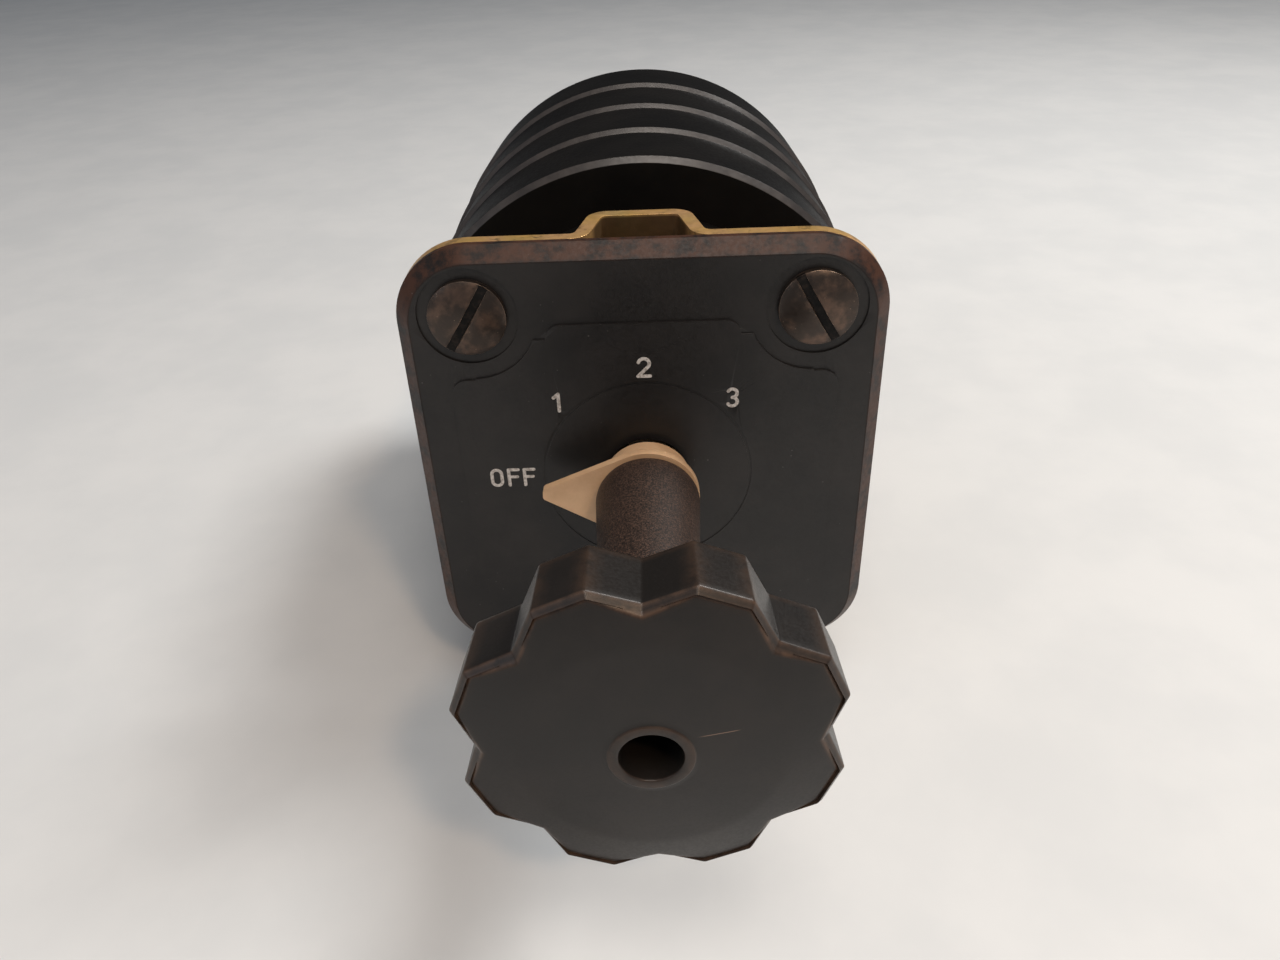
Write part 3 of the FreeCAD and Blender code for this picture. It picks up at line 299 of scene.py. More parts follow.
def phenolic_plate():
    """Black moulded plate, satin, dusty, browned along its bevel."""
    f = Finish("phenolic_plate")
    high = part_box("escutcheon")[1]
    cloud = f.noise(9 * MM, 4)
    fine = f.noise(0.5 * MM, 3)
    colour = f.mix(f.span(cloud, 0.35, 0.7), (0.0105, 0.0095, 0.0092), (0.0180, 0.0155, 0.0145))
    depth = f.inside(high.x, high.z, PLATE_CORNER)
    patch = f.span(f.noise(2.6 * MM, 6, 0.65), 0.34, 0.60)
    on_bevel = f.calc("MULTIPLY", f.span(depth, 2.1 * MM, 1.5 * MM), patch)
    colour = f.mix(f.calc("MULTIPLY", on_bevel, 0.9), colour, (0.070, 0.031, 0.019))
    dust = f.calc("MULTIPLY", f.span(f.cells(1.3 * MM), 0.10, 0.03), f.span(f.noise(7 * MM, 2), 0.5, 0.7))
    colour = f.mix(f.calc("MULTIPLY", dust, 0.30), colour, (0.30, 0.28, 0.26))
    f.set(base_color=colour, roughness=f.span(fine, 0.3, 0.7, 0.36, 0.48))
    f.set(specular_ior_level=f.span(depth, 2.1 * MM, 1.8 * MM, 0.42, 0.22))
    f.set(normal=f.bump(fine, 0.02 * MM, 0.5))
    return f.material


def plate_edge():
    """The dial plate's edges, lighter in uneven patches: handling wear, and a painted highlight where the
    edges catch the light.
    """
    f = Finish("plate_edge")
    patch = f.noise(3.5 * MM, 5)
    # wear and painted highlight on the rounded edges
    colour = f.mix(f.span(patch, 0.38, 0.62), (0.025, 0.019, 0.016), (0.105, 0.078, 0.062))
    f.set(base_color=colour, roughness=0.45)
    return f.material


def moulded_knob():
    """Dark brown-black moulding: satin, grainy on the neck, rubbed bright along ridges and rim."""
    f = Finish("moulded_knob")
    cloud = f.noise(7 * MM, 4)
    fine = f.noise(0.35 * MM, 3)
    grain = f.noise(0.22 * MM, 5, 0.75)
    on_neck = f.attribute("grain")
    colour = f.mix(f.span(cloud, 0.35, 0.7), (0.0130, 0.0112, 0.0100), (0.0185, 0.0150, 0.0130))
    speckle = f.mix(f.span(grain, 0.42, 0.66), (0.010, 0.0065, 0.005), (0.125, 0.070, 0.048))
    colour = f.mix(f.calc("MULTIPLY", on_neck, 0.75), colour, speckle)
    rubbed = f.calc("MULTIPLY", f.attribute("wear"), f.span(f.noise(1.6 * MM, 5), 0.30, 0.62, 0.25, 1.0))
    colour = f.mix(f.calc("MULTIPLY", rubbed, 0.55), colour, (0.15, 0.085, 0.052))
    scratch = f.line(SCRATCH_START, SCRATCH_END, SCRATCH_HALF_WIDTH)
    on_face = f.span(f.axis("Y"), -51 * MM, -52 * MM)
    colour = f.mix(f.calc("MULTIPLY", f.calc("MULTIPLY", scratch, on_face), 0.8), colour, (0.28, 0.18, 0.13))
    smooth = f.span(fine, 0.3, 0.7, 0.32, 0.42)
    f.set(base_color=colour, roughness=f.calc("ADD", smooth, f.calc("MULTIPLY", on_neck, 0.12)))
    f.set(specular_ior_level=0.36)
    coarse = f.calc("MULTIPLY", on_neck, 3.0)
    height = f.weighted(fine, 0.25, grain, coarse)
    f.set(normal=f.bump(height, 0.03 * MM, 0.6))
    return f.material


def moulded_stack():
    """Very black, dull moulding, with a painted highlight lightening the chamfer on each deck's front edge.
    """
    f = Finish("moulded_stack")
    low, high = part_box("deck_housing_1")
    front = low.y
    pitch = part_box("deck_housing_2")[0].y - front
    rim = high.x
    fine = f.noise(0.6 * MM, 3)
    cloud = f.noise(14 * MM, 3)
    colour = f.mix(f.span(cloud, 0.35, 0.7), (0.0052, 0.0048, 0.0045), (0.0085, 0.0077, 0.0070))
    behind_front = f.calc("MODULO", f.calc("SUBTRACT", f.axis("Y"), front - 0.1 * MM), pitch)
    on_chamfer = f.calc("MULTIPLY", f.span(behind_front, 0.98 * MM, 0.90 * MM),
                        f.span(f.radius(), rim - 0.88 * MM, rim - 0.80 * MM))
    patch = f.noise(3 * MM, 5)
    # painted highlight: the lighter colour on each deck's front chamfer stands for the overhead light it
    # catches
    worn = f.mix(f.span(patch, 0.35, 0.65), (0.034, 0.029, 0.027), (0.055, 0.047, 0.043))
    colour = f.mix(on_chamfer, colour, worn)
    dull = f.span(fine, 0.3, 0.7, 0.40, 0.50)
    f.set(base_color=colour, specular_ior_level=f.span(on_chamfer, 0, 1, 0.11, 0.5))
    f.set(roughness=f.calc("SUBTRACT", dull, f.calc("MULTIPLY", on_chamfer, 0.12)))
    f.set(normal=f.bump(fine, 0.015 * MM, 0.5))
    return f.material


def stack_edge():
    """The stack's other edges, polished a little lighter by handling."""
    f = Finish("stack_edge")
    patch = f.noise(3 * MM, 5)
    f.set(base_color=f.mix(f.span(patch, 0.35, 0.65), (0.012, 0.011, 0.010), (0.035, 0.030, 0.027)))
    f.set(roughness=f.span(patch, 0.3, 0.7, 0.40, 0.52), specular_ior_level=0.35)
    return f.material


def moulded_rotor():
    """Red-brown moulding of the rotors."""
    f = Finish("moulded_rotor")
    cloud = f.noise(2 * MM, 5)
    f.set(base_color=f.mix(f.span(cloud, 0.3, 0.7), (0.075, 0.032, 0.018), (0.13, 0.060, 0.034)))
    f.set(roughness=f.span(f.noise(0.4 * MM), 0.3, 0.7, 0.42, 0.58))
    return f.material


def ivory_plastic():
    """Aged ivory plastic, a little darker where it has been handled."""
    f = Finish("ivory_plastic")
    cloud = f.noise(3.5 * MM, 4)
    f.set(base_color=f.mix(f.span(cloud, 0.3, 0.75), (0.62, 0.39, 0.22), (0.74, 0.49, 0.29)))
    f.set(roughness=f.span(f.noise(0.5 * MM), 0.3, 0.7, 0.36, 0.48), subsurface_weight=0.08)
    f.set(subsurface_radius=(1.2 * MM, 0.7 * MM, 0.4 * MM))
    return f.material


def figure_fill():
    """Paint in the engraving, greyed and a little patchy."""
    f = Finish("figure_fill")
    patch = f.noise(0.45 * MM, 4)
    f.set(base_color=f.mix(f.span(patch, 0.35, 0.6), (0.36, 0.32, 0.29), (0.66, 0.62, 0.58)))
    f.set(roughness=0.75)
    return f.material


def yellow_chromate():
    """Yellow chromate on steel sheet: orange gold with greener drifts and patches of grime, darkened inside
    the channel by painted shade.
    """
    f = Finish("yellow_chromate")
    drift = f.span(f.noise(5 * MM, 3), 0.3, 0.7)
    colour = f.mix(drift, (0.84, 0.52, 0.17), (0.88, 0.53, 0.25))
    colour = f.mix(f.span(f.noise(9 * MM, 2), 0.5, 0.75, 0.0, 0.45), colour, (0.50, 0.44, 0.16))
    grime = f.span(f.noise(1.4 * MM, 5), 0.54, 0.75, 0.0, 0.7)
    # painted shade: the channel's inner face, deep behind the dial plate, is darkened
    channel_shade = f.calc("MULTIPLY", f.span(f.axis("Y"), 2.2 * MM, 5.0 * MM),
                        f.span(f.calc("ABSOLUTE", f.axis("X")), 7.4 * MM, 6.2 * MM))
    below_edge = f.span(f.axis("Z"), 32.9 * MM, 32.6 * MM)
    channel_shade = f.calc("MULTIPLY", channel_shade, below_edge)
    # real grime patches together with the channel's painted shade
    grime_and_shade = f.calc("MAXIMUM", grime, f.calc("MULTIPLY", channel_shade, 0.85))
    colour = f.mix(grime_and_shade, colour, (0.13, 0.080, 0.048))
    f.set(base_color=colour, metallic=0.7)
    f.set(roughness=f.span(f.noise(0.8 * MM, 4), 0.3, 0.7, 0.30, 0.44))
    f.set(normal=f.bump(f.noise(0.5 * MM, 3), 0.01 * MM, 0.4))
    return f.material


def blackened_steel():
    """Black oxide, thinning to bronze, with a few bare specks, and painted shade in the screw slots."""
    f = Finish("blackened_steel")
    patch = f.span(f.noise(2.8 * MM, 5, 0.6), 0.42, 0.72)
    colour = f.mix(patch, (0.055, 0.043, 0.036), (0.150, 0.096, 0.070))
    colour = f.mix(f.span(f.cells(1.1 * MM), 0.09, 0.03, 0.0, 0.5), colour, (0.40, 0.28, 0.20))
    in_slot = 0.0
    for x, z, angle in SCREW_SLOTS:
        slot = f.band(x * MM, z * MM, math.radians(angle), SLOT_HALF_WIDTH, SLOT_REACH)
        in_slot = f.calc("MAXIMUM", in_slot, slot)
    # only the head, in front of the shank's end
    in_slot = f.calc("MULTIPLY", in_slot, f.span(f.axis("Y"), -2.8 * MM, -3.0 * MM))
    # painted shade in the screw slots: darker, less metallic and less shiny than the head
    slot_shade = f.mix(f.span(f.noise(0.8 * MM, 4), 0.45, 0.7), (0.006, 0.005, 0.0045), (0.030, 0.022, 0.018))
    colour = f.mix(in_slot, colour, slot_shade)
    f.set(base_color=colour, metallic=f.span(in_slot, 0, 1, 0.7, 0.0))
    f.set(specular_ior_level=f.span(in_slot, 0, 1, 0.5, 0.15))
    f.set(roughness=f.span(f.noise(0.4 * MM, 4), 0.3, 0.7, 0.30, 0.46))
    f.set(normal=f.bump(f.noise(0.3 * MM, 4), 0.012 * MM, 0.5))
    return f.material


def bared_steel_and_highlight():
    """Edges of the blackened screws, rubbed bare in patches and lighter as a painted highlight on the slot
    edges and rim.
    """
    f = Finish("bared_steel_and_highlight")
    patch = f.span(f.noise(0.9 * MM, 5), 0.40, 0.62)
    # coppery patches: bare-rubbed wear, and a painted highlight on the rounded edges
    f.set(base_color=f.mix(patch, (0.09, 0.065, 0.050), (0.46, 0.32, 0.23)), metallic=0.85)
    f.set(roughness=f.span(f.noise(0.4 * MM, 4), 0.3, 0.7, 0.30, 0.46))
    return f.material


def zinc_steel():
    """Zinc-plated steel with duller patches."""
    f = Finish("zinc_steel")
    patch = f.span(f.noise(2.2 * MM, 5), 0.35, 0.7)
    f.set(base_color=f.mix(patch, (0.50, 0.50, 0.48), (0.36, 0.35, 0.33)), metallic=1.0)
    f.set(roughness=f.span(f.noise(0.5 * MM, 4), 0.3, 0.7, 0.30, 0.46))
    f.set(normal=f.bump(f.noise(0.25 * MM, 3), 0.008 * MM, 0.5))
    return f.material


def brass():
    """Brass, tarnished in patches."""
    f = Finish("brass")
    patch = f.span(f.noise(2.0 * MM, 5), 0.40, 0.72)
    f.set(base_color=f.mix(patch, (0.66, 0.46, 0.19), (0.36, 0.23, 0.10)), metallic=1.0)
    f.set(roughness=f.span(f.noise(0.5 * MM, 4), 0.3, 0.7, 0.24, 0.42))
    f.set(normal=f.bump(f.noise(0.25 * MM, 3), 0.008 * MM, 0.5))
    return f.material


def contact_copper():
    """Copper alloy, tarnished in patches."""
    f = Finish("contact_copper")
    patch = f.span(f.noise(2.5 * MM, 5), 0.40, 0.72)
    f.set(base_color=f.mix(patch, (0.72, 0.40, 0.24), (0.34, 0.17, 0.10)), metallic=1.0)
    f.set(roughness=f.span(f.noise(0.5 * MM, 4), 0.3, 0.7, 0.26, 0.44))
    return f.material


def pale_floor():
    """The studio floor."""
    f = Finish("pale_floor")
    f.set(base_color=f.mix(f.span(f.noise(30 * MM, 4), 0.3, 0.7), (0.70, 0.71, 0.71), (0.75, 0.755, 0.75)))
    f.set(roughness=0.7)
    return f.material


# ---- mesh helpers -------------------------------------------------------------------------------
def skin(rings, closed_loop=False):
    """Vertices and faces of a skin through rings of equally many points. An open run gets end caps."""
    count = len(rings[0])
    points = [p for ring in rings for p in ring]
    faces = []
    pairs = len(rings) if closed_loop else len(rings) - 1
    for i in range(pairs):
        here, there = i * count, (i + 1) % len(rings) * count
        for j in range(count):
            k = (j + 1) % count
            faces.append((here + j, here + k, there + k, there + j))
    if not closed_loop:
        faces.append(tuple(range(count))[::-1])
        faces.append(tuple((len(rings) - 1) * count + j for j in range(count)))
    return points, faces


def add_piece(name, points, faces, body, material, sharp_angle):
    mesh = bpy.data.meshes.new(name)
    mesh.from_pydata(points, [], faces)
    shape = bmesh.new()
    shape.from_mesh(mesh)
    bmesh.ops.recalc_face_normals(shape, faces=shape.faces)
    shape.to_mesh(mesh)
    shape.free()
    for polygon in mesh.polygons:
        polygon.use_smooth = True
    mesh.set_sharp_from_angle(angle=math.radians(sharp_angle))
    mesh.materials.append(material)
    piece = bpy.data.objects.new(name, mesh)
    bpy.context.scene.collection.objects.link(piece)
    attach(piece, body)
    return piece


def set_attribute(piece, name, values):
    layer = piece.data.attributes.new(name, "FLOAT", "POINT")
    layer.data.foreach_set("value", values)


# ---- knob ---------------------------------------------------------------------------------------
KNOB_LOBES = 8
KNOB_FIRST_NOTCH = math.radians(91.2)
LOBE_HALF_ANGLE = math.radians(7.8)
RIDGE_R = 20.0 * MM
NOTCH_R = 17.5 * MM
RIDGE_ROUND = 0.55 * MM
NOTCH_ROUND = 0.50 * MM
ARC_STEPS = 6
FACET_STEPS = 6
FOOT_TO_RIM = 43.1 * MM
FOOT_TO_REAR = 34.8 * MM        # the rear face of the lobed head
SQUARE_HALF = 2.7 * MM          # hole on the shaft's square
NECK_TOP_R = 5.4 * MM
NECK_FOOT_R = 6.95 * MM
FOOT_ROUND_R = 1.15 * MM        # rounding at the neck's foot, across and along
FOOT_ROUND_Y = 1.5 * MM
NECK_FILLET = 3.4 * MM          # neck into the head's rear face
REAR_ROUND = 0.7 * MM
SKIRT_DRAFT = 0.4 * MM
RIM_CHAMFER = 0.8 * MM
SCREW_HOLE_R = 3.2 * MM
LIP_R = 4.3 * MM
POCKET_R = 3.0 * MM             # narrower end of the screw hole
POCKET_LEN = 3.6 * MM
CROWN_BREAK_R = 13.6 * MM       # the crowned face curves faster outside this
CROWN_INNER_CURVE = 125 * MM
CROWN_OUTER_CURVE = 72 * MM
# outer rim edge and chamfer: inset, distance ahead of the chamfer's start, wear, wear on the ridges
RIM_SECTION = (
    (0.03 * MM, 0.04 * MM, 0.55, 0.8),
    (0.12 * MM, 0.16 * MM, 0.7, 0.9),
    (0.22 * MM, 0.27 * MM, 0.4, 0.5),
    (0.40 * MM, 0.46 * MM, 0.15, 0.3),
    (0.58 * MM, 0.65 * MM, 0.45, 0.5),
)
# inner rim edge: inset, distance behind the crowned face, wear, wear on the ridges
FACE_EDGE = (
    (0.68 * MM, 0.16 * MM, 0.8, 0.9),
    (0.80 * MM, 0.06 * MM, 1.0, 1.0),
    (0.95 * MM, 0.01 * MM, 0.6, 0.6),
    (1.12 * MM, 0.0, 0.1, 0.1),
)


def rounded_outline():
    """The knob's outline with ridges and notches rounded, as pairs of (x, z) and how near a ridge."""
    corners = []
    for lobe in range(KNOB_LOBES):
        notch = KNOB_FIRST_NOTCH + TURN / KNOB_LOBES * lobe
        middle = notch + TURN / KNOB_LOBES / 2
        corners.append((NOTCH_R, notch, NOTCH_ROUND, 0.0))
        corners.append((RIDGE_R, middle - LOBE_HALF_ANGLE, RIDGE_ROUND, 1.0))
        corners.append((RIDGE_R, middle + LOBE_HALF_ANGLE, RIDGE_ROUND, 1.0))
    places = [Vector((r * math.cos(a), r * math.sin(a))) for r, a, _, _ in corners]
    arcs = []
    for i, (_, _, round_r, ridge) in enumerate(corners):
        here = places[i]
        back = (places[i - 1] - here).normalized()
        on = (places[(i + 1) % len(places)] - here).normalized()
        half = back.angle(on) / 2
        centre = here + (back + on).normalized() * (round_r / math.sin(half))
        start = here + back * (round_r / math.tan(half)) - centre
        end = here + on * (round_r / math.tan(half)) - centre
        first = math.atan2(start.y, start.x)
        sweep = math.remainder(math.atan2(end.y, end.x) - first, TURN)
        arc = []
        for step in range(ARC_STEPS + 1):
            a = first + sweep * step / ARC_STEPS
            arc.append((centre + Vector((math.cos(a), math.sin(a))) * round_r, ridge))
        arcs.append(arc)
    outline = []
    for i, arc in enumerate(arcs):
        outline += arc
        (p, near_p), (q, near_q) = arc[-1], arcs[(i + 1) % len(arcs)][0]
        for step in range(1, FACET_STEPS):
            t = step / FACET_STEPS
            near = max(near_p * (1 - t * 4), near_q * (1 - (1 - t) * 4), 0.0)
            outline.append((p.lerp(q, t), near))
    return outline


class KnobSkin:
    """The knob's rings, from the shaft hole out over neck, skirt and face to the screw hole."""

    def __init__(self):
        low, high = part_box("knob")
        self.foot_y = high.y
        self.rim_y = high.y - FOOT_TO_RIM
        self.rear_y = high.y - FOOT_TO_REAR
        self.lip_y = low.y + 0.01 * MM
        self.crown_top = low.y + 0.13 * MM
        self.outline = rounded_outline()
        self.directions = [p.normalized() for p, _ in self.outline]
        self.rings, self.wear, self.grain = [], [], []

    def crown(self, r):
        """y of the crowned face at a radius."""
        inner = min(r, CROWN_BREAK_R)
        y = self.crown_top + inner * inner / (2 * CROWN_INNER_CURVE)
        if r > CROWN_BREAK_R:
            y += (r * r - CROWN_BREAK_R * CROWN_BREAK_R) / (2 * CROWN_OUTER_CURVE)
        return y

    def add(self, points, wear, grain):
        self.rings.append(points)
        self.wear += wear
        self.grain += [grain] * len(points)

    def circle(self, r, y, wear=0.0, grain=0.0):
        points = [Vector((d.x * r, y, d.y * r)) for d in self.directions]
        self.add(points, [wear] * len(points), grain)

    def square(self, half, y):
        points = []
        for d in self.directions:
            r = half / max(abs(d.x), abs(d.y))
            points.append(Vector((d.x * r, y, d.y * r)))
        self.add(points, [0.0] * len(points), 0.0)

    def lobed(self, inset, y, wear=0.0, ridge_wear=0.0, lift=None):
        """The outline drawn in radially by inset, at y, or at lift(radius) where lift is given."""
        points, worn = [], []
        for p, near in self.outline:
            r = p.length - inset
            d = p.normalized()
            points.append(Vector((d.x * r, lift(r) if lift else y, d.y * r)))
            worn.append(max(wear, ridge_wear * near))
        self.add(points, worn, 0.0)

    def face(self, share, rim_inset, hub_r, lift):
        """A ring of the front or rear face, from the lobed rim at share 0 to a circle at share 1."""
        points = []
        for p, _ in self.outline:
            r = (p.length - rim_inset) * (1 - share) + hub_r * share
            d = p.normalized()
            points.append(Vector((d.x * r, lift(r), d.y * r)))
        self.add(points, [0.0] * len(points), 0.0)


def quarter(count):
    """Sine and cosine at equal steps of a quarter turn, without its start."""
    for step in range(1, count + 1):
        a = math.radians(90 * step / count)
        yield math.sin(a), math.cos(a), step / count


def knob_neck(s):
    s.square(SQUARE_HALF, s.foot_y)
    s.circle(NECK_FOOT_R - FOOT_ROUND_R, s.foot_y, 0.2, 0.6)
    for sine, cosine, _ in quarter(6):
        s.circle(NECK_FOOT_R - FOOT_ROUND_R * (1 - sine), s.foot_y - FOOT_ROUND_Y * (1 - cosine), 0.25, 1.0)
    neck_start = s.foot_y - FOOT_ROUND_Y
    neck_len = neck_start - (s.rear_y + NECK_FILLET)
    for step in range(1, 25):
        t = step / 24
        s.circle(NECK_FOOT_R + (NECK_TOP_R - NECK_FOOT_R) * t, neck_start - neck_len * t, 0.0, 1.0)
    for sine, cosine, t in quarter(8):
        r = NECK_TOP_R + NECK_FILLET * (1 - cosine)
        s.circle(r, s.rear_y + NECK_FILLET * (1 - sine), 0.0, 1.0 - t)


def knob_skirt(s):
    rear_inset = SKIRT_DRAFT + REAR_ROUND
    for step in range(1, 8):
        s.face(1 - step / 8, rear_inset, NECK_TOP_R + NECK_FILLET, lambda r: s.rear_y)
    s.lobed(rear_inset, s.rear_y)
    for sine, cosine, _ in quarter(5):
        s.lobed(SKIRT_DRAFT + REAR_ROUND * (1 - sine), s.rear_y - REAR_ROUND * (1 - cosine), 0.25, 0.5)
    start, end = s.rear_y - REAR_ROUND, s.rim_y + RIM_CHAMFER + 0.1 * MM
    for step in range(1, 11):
        t = step / 10
        s.lobed(SKIRT_DRAFT * (1 - t), start + (end - start) * t, 0.0, 0.35)


def knob_face(s):
    for inset, ahead, wear, ridge_wear in RIM_SECTION:
        s.lobed(inset, s.rim_y + RIM_CHAMFER - ahead, wear, ridge_wear)
    for inset, behind, wear, ridge_wear in FACE_EDGE:
        s.lobed(inset, 0, wear, ridge_wear, lambda r: s.crown(r) + behind)
    for step in range(1, 25):
        s.face(step / 25, FACE_EDGE[-1][0], LIP_R + 0.15 * MM, s.crown)


def knob_hole(s):
    """The raised lip, the screw hole and the seat of the insert."""
    insert_low, insert_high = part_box("knob_insert")
    face_y = s.crown(LIP_R)
    s.circle(LIP_R + 0.13 * MM, face_y)
    s.circle(LIP_R + 0.05 * MM, face_y - 0.04 * MM, 0.3)
    s.circle(LIP_R - 0.02 * MM, s.lip_y + 0.03 * MM, 0.6)
    s.circle(LIP_R - 0.12 * MM, s.lip_y, 0.5)
    s.circle(SCREW_HOLE_R + 0.22 * MM, s.lip_y, 0.2)
    s.circle(SCREW_HOLE_R + 0.10 * MM, s.lip_y + 0.04 * MM, 0.3)
    s.circle(SCREW_HOLE_R + 0.02 * MM, s.lip_y + 0.14 * MM, 0.3)
    s.circle(SCREW_HOLE_R, s.lip_y + 0.3 * MM)
    s.circle(SCREW_HOLE_R, insert_low.y - POCKET_LEN)
    s.circle(POCKET_R, insert_low.y - POCKET_LEN)
    s.circle(POCKET_R, insert_low.y)
    s.circle(insert_high.x, insert_low.y)
    s.circle(insert_high.x, insert_high.y)
    s.square(SQUARE_HALF, insert_high.y)


def knob():
    s = KnobSkin()
    knob_neck(s)
    knob_skirt(s)
    knob_face(s)
    knob_hole(s)
    points, faces = skin(s.rings, closed_loop=True)
    piece = add_piece("knob_moulding", points, faces, "rotor", moulded_knob(), 50.0)
    set_attribute(piece, "wear", s.wear)
    set_attribute(piece, "grain", s.grain)
    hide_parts("knob")


# ---- threads and nuts ---------------------------------------------------------------------------
THREAD_PITCH = 0.7 * MM
THREAD_SIDES = 24
THREAD_ROWS = 6             # rings to one turn
THREAD_DEPTH = 0.36 * MM
THREAD_END_CUT = 0.55 * MM  # how far the chamfer cuts in at the end
NUT_SIDES = 48
NUT_ACROSS = 7.0 * MM
NUT_BORE_R = 2.0 * MM
STUD_NUT_H = 3.2 * MM
STUD_WASHER_T = 0.8 * MM
STUD_R = 2.0 * MM
STUD_HEAD_R = 3.2 * MM
STUD_HEAD_TOP_R = 2.8 * MM
STUD_HEAD_H = 2.2 * MM
STUD_X = 13.0 * MM
TIE_BOLT_X = 28.2 * MM
DECKS = 4


def placed(rings, place, along):
    """Rings of (u, v, w) set down at a place with w along +Y or -Z."""
    if along == "Y":
        return [[place + Vector((u, w, v)) for u, v, w in ring] for ring in rings]
    return [[place + Vector((u, v, -w)) for u, v, w in ring] for ring in rings]


def circle_ring(r, w, count):
    return [(r * math.cos(TURN * i / count), r * math.sin(TURN * i / count), w) for i in range(count)]


def thread_rings(r, start, end, turn):
    """Rings of a thread from start to end, with the end chamfered."""
    rings = []
    count = round((end - start) / THREAD_PITCH * THREAD_ROWS)
    for row in range(count + 1):
        w = start + (end - start) * row / count
        ring = []
        for i in range(THREAD_SIDES):
            phase = (w / THREAD_PITCH + i / THREAD_SIDES + turn) % 1.0
            crest = abs(2 * phase - 1)
            depth = THREAD_DEPTH * (1 - min(1.0, 1.25 * crest))
            reach = min(r - depth, r - THREAD_END_CUT + (end - w) * 0.9)
            a = TURN * i / THREAD_SIDES
            ring.append((reach * math.cos(a), reach * math.sin(a), w))
        rings.append(ring)
    return rings


def hex_nut_rings(height, corner):
    """A chamfered hexagon nut as a closed run of rings, bore included. corner turns its corners."""
    flat_r = NUT_ACROSS / 2
    rings = [
        circle_ring(NUT_BORE_R, 0.35 * MM, NUT_SIDES),
        circle_ring(NUT_BORE_R + 0.3 * MM, 0.02 * MM, NUT_SIDES),
        circle_ring(flat_r * 0.95, 0.0, NUT_SIDES),
    ]
    sides = []
    for i in range(NUT_SIDES):
        a = TURN * i / NUT_SIDES
        r = flat_r / math.cos(math.remainder(a - corner - TURN / 12, TURN / 6))
        drop = max(r - flat_r * 0.97, 0.0) * math.tan(math.radians(30))
        sides.append((r * math.cos(a), r * math.sin(a), drop))
    rings.append(sides)
    rings.append([(u, v, height - w) for u, v, w in sides])
    rings += [[(u, v, height - w) for u, v, w in ring] for ring in rings[2::-1]]
    return rings


def add_group(name, groups, node, body, material, closed_loop):
    """Several separate skins as one piece that stands for one CAD node."""
    points, faces = [], []
    for rings in groups:
        more_points, more_faces = skin(rings, closed_loop)
        faces += [tuple(index + len(points) for index in face) for face in more_faces]
        points += more_points
    piece = add_piece(name, points, faces, body, material, 28.0)
    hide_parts(node)


def stud_places():
    """Axis of every terminal stud, with z on the deck's flat."""
    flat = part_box("terminal_washers")[1].z
    places = []
    for deck in range(1, DECKS + 1):
        low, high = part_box("contact_blade_%d" % deck)
        for x in (-STUD_X, STUD_X):
            places.append(Vector((x, (low.y + high.y) / 2, flat)))
    return places


def stud_rings(head, tip):
    """One stud down from the top of its head, with a thread from the flat to the tip."""
    under_head = head + STUD_HEAD_H
    rings = [
        circle_ring(STUD_HEAD_TOP_R, head, THREAD_SIDES),
        circle_ring(STUD_HEAD_R, head + 0.5 * MM, THREAD_SIDES),
        circle_ring(STUD_HEAD_R, under_head, THREAD_SIDES),
        circle_ring(STUD_R, under_head, THREAD_SIDES),
    ]
    return rings + thread_rings(STUD_R, 0.0, tip, random.random())


def fasteners():
    low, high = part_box("terminal_studs")
    studs, nuts = [], []
    for place in stud_places():
        studs.append(placed(stud_rings(place.z - high.z, place.z - low.z), place, "Z"))
        top = place - Vector((0, 0, STUD_WASHER_T))
        nuts.append(placed(hex_nut_rings(STUD_NUT_H, 0.0), top, "Z"))
    add_group("stud_threads", studs, "terminal_studs", "switch_body", brass(), False)
    add_group("stud_nut_shapes", nuts, "terminal_nuts", "switch_body", brass(), True)
    low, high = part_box("tie_nuts")
    tie_nuts = []
    for x in (-TIE_BOLT_X, TIE_BOLT_X):
        rings = hex_nut_rings(high.y - low.y, TURN / 12)
        tie_nuts.append(placed(rings, Vector((x, low.y, 0)), "Y"))
    add_group("tie_nut_shapes", tie_nuts, "tie_nuts", "switch_body", zinc_steel(), True)


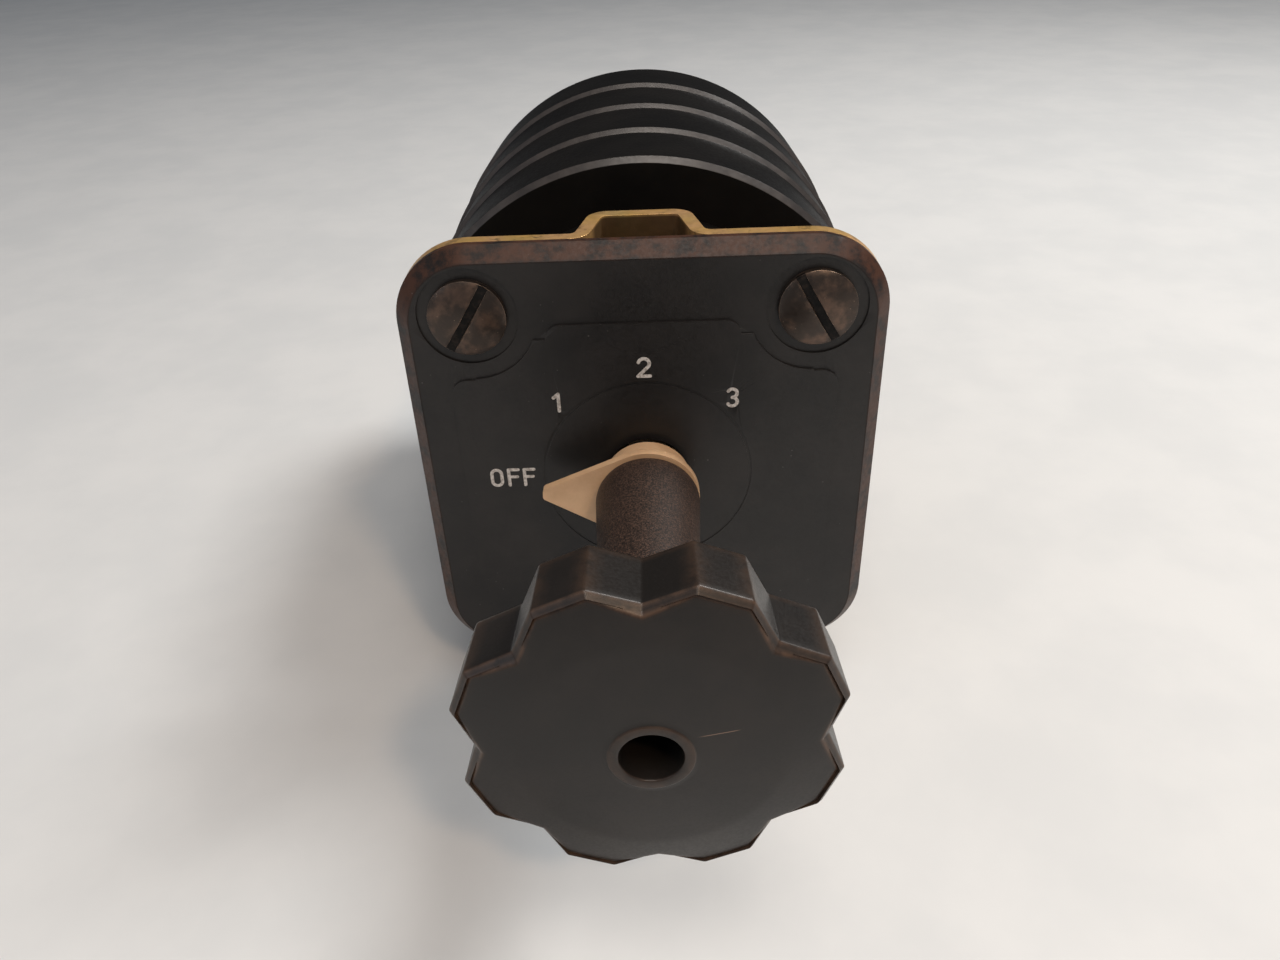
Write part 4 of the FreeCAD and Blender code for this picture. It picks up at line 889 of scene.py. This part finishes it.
# ---- CAD nodes that stay: rounded edges and a finish --------------------------------------------
EDGE_ROUND = {
    "escutcheon": 0.14 * MM,
    "panel_screws": 0.12 * MM,
    "mounting_plate": 0.15 * MM,
    "pointer": 0.22 * MM,
    "detent_housing": 0.20 * MM,
    "rear_cover": 0.30 * MM,
}
EDGE_ROUND_DEFAULT = 0.12 * MM
DECK_EDGE_ROUND = 0.20 * MM
NO_ROUNDING = ("dial_figures", "detent_spring_upper", "detent_spring_lower")


def dress_nodes():
    """Gives each CAD node its slot's finish and rounded edges. The knob's own node is replaced."""
    finishes = {
        "phenolic_plate": phenolic_plate(),
        "moulded_stack": moulded_stack(),
        "moulded_rotor": moulded_rotor(),
        "ivory_plastic": ivory_plastic(),
        "figure_fill": figure_fill(),
        "yellow_chromate": yellow_chromate(),
        "blackened_steel": blackened_steel(),
        "zinc_steel": zinc_steel(),
        "brass": brass(),
        "contact_copper": contact_copper(),
        "moulded_knob": moulded_rotor(),    # never seen
    }
    # finishes for the rounded-edge strips; the screws' and the dial plate's carry some painted highlight
    edges = {"moulded_stack": stack_edge(), "blackened_steel": bared_steel_and_highlight(), "phenolic_plate": plate_edge()}
    slots = {part["node"]: part["material_slot"] for part in frame["record"]["subparts"]}
    for name, node in frame["nodes"].items():
        node.data.materials.clear()
        node.data.materials.append(finishes[slots[name]])
        if name in NO_ROUNDING:
            continue
        weld = node.modifiers.new("weld", "WELD")
        weld.merge_threshold = 0.001 * MM
        bevel = node.modifiers.new("round_edges", "BEVEL")
        if name.startswith("deck_housing"):
            bevel.width = DECK_EDGE_ROUND
        else:
            bevel.width = EDGE_ROUND.get(name, EDGE_ROUND_DEFAULT)
        bevel.segments = 2
        bevel.limit_method = "ANGLE"
        bevel.angle_limit = math.radians(32)
        bevel.use_clamp_overlap = True
        if slots[name] in edges:
            node.data.materials.append(edges[slots[name]])
            bevel.material = 1
        soften = node.modifiers.new("soften", "WEIGHTED_NORMAL")
        soften.weight = 100
        soften.keep_sharp = False


def add_floor():
    z = cad_low.z - FLOOR_GAP
    w = FLOOR_HALF_WIDTH
    points = [(-w, -w, z), (w, -w, z), (w, w, z), (-w, w, z)]
    mesh = bpy.data.meshes.new("floor")
    mesh.from_pydata(points, [], [(0, 1, 2, 3)])
    mesh.materials.append(pale_floor())
    floor = bpy.data.objects.new("floor", mesh)
    bpy.context.scene.collection.objects.link(floor)


random.seed(4)
add_camera()
add_lights()
add_floor()
dress_nodes()
knob()
fasteners()
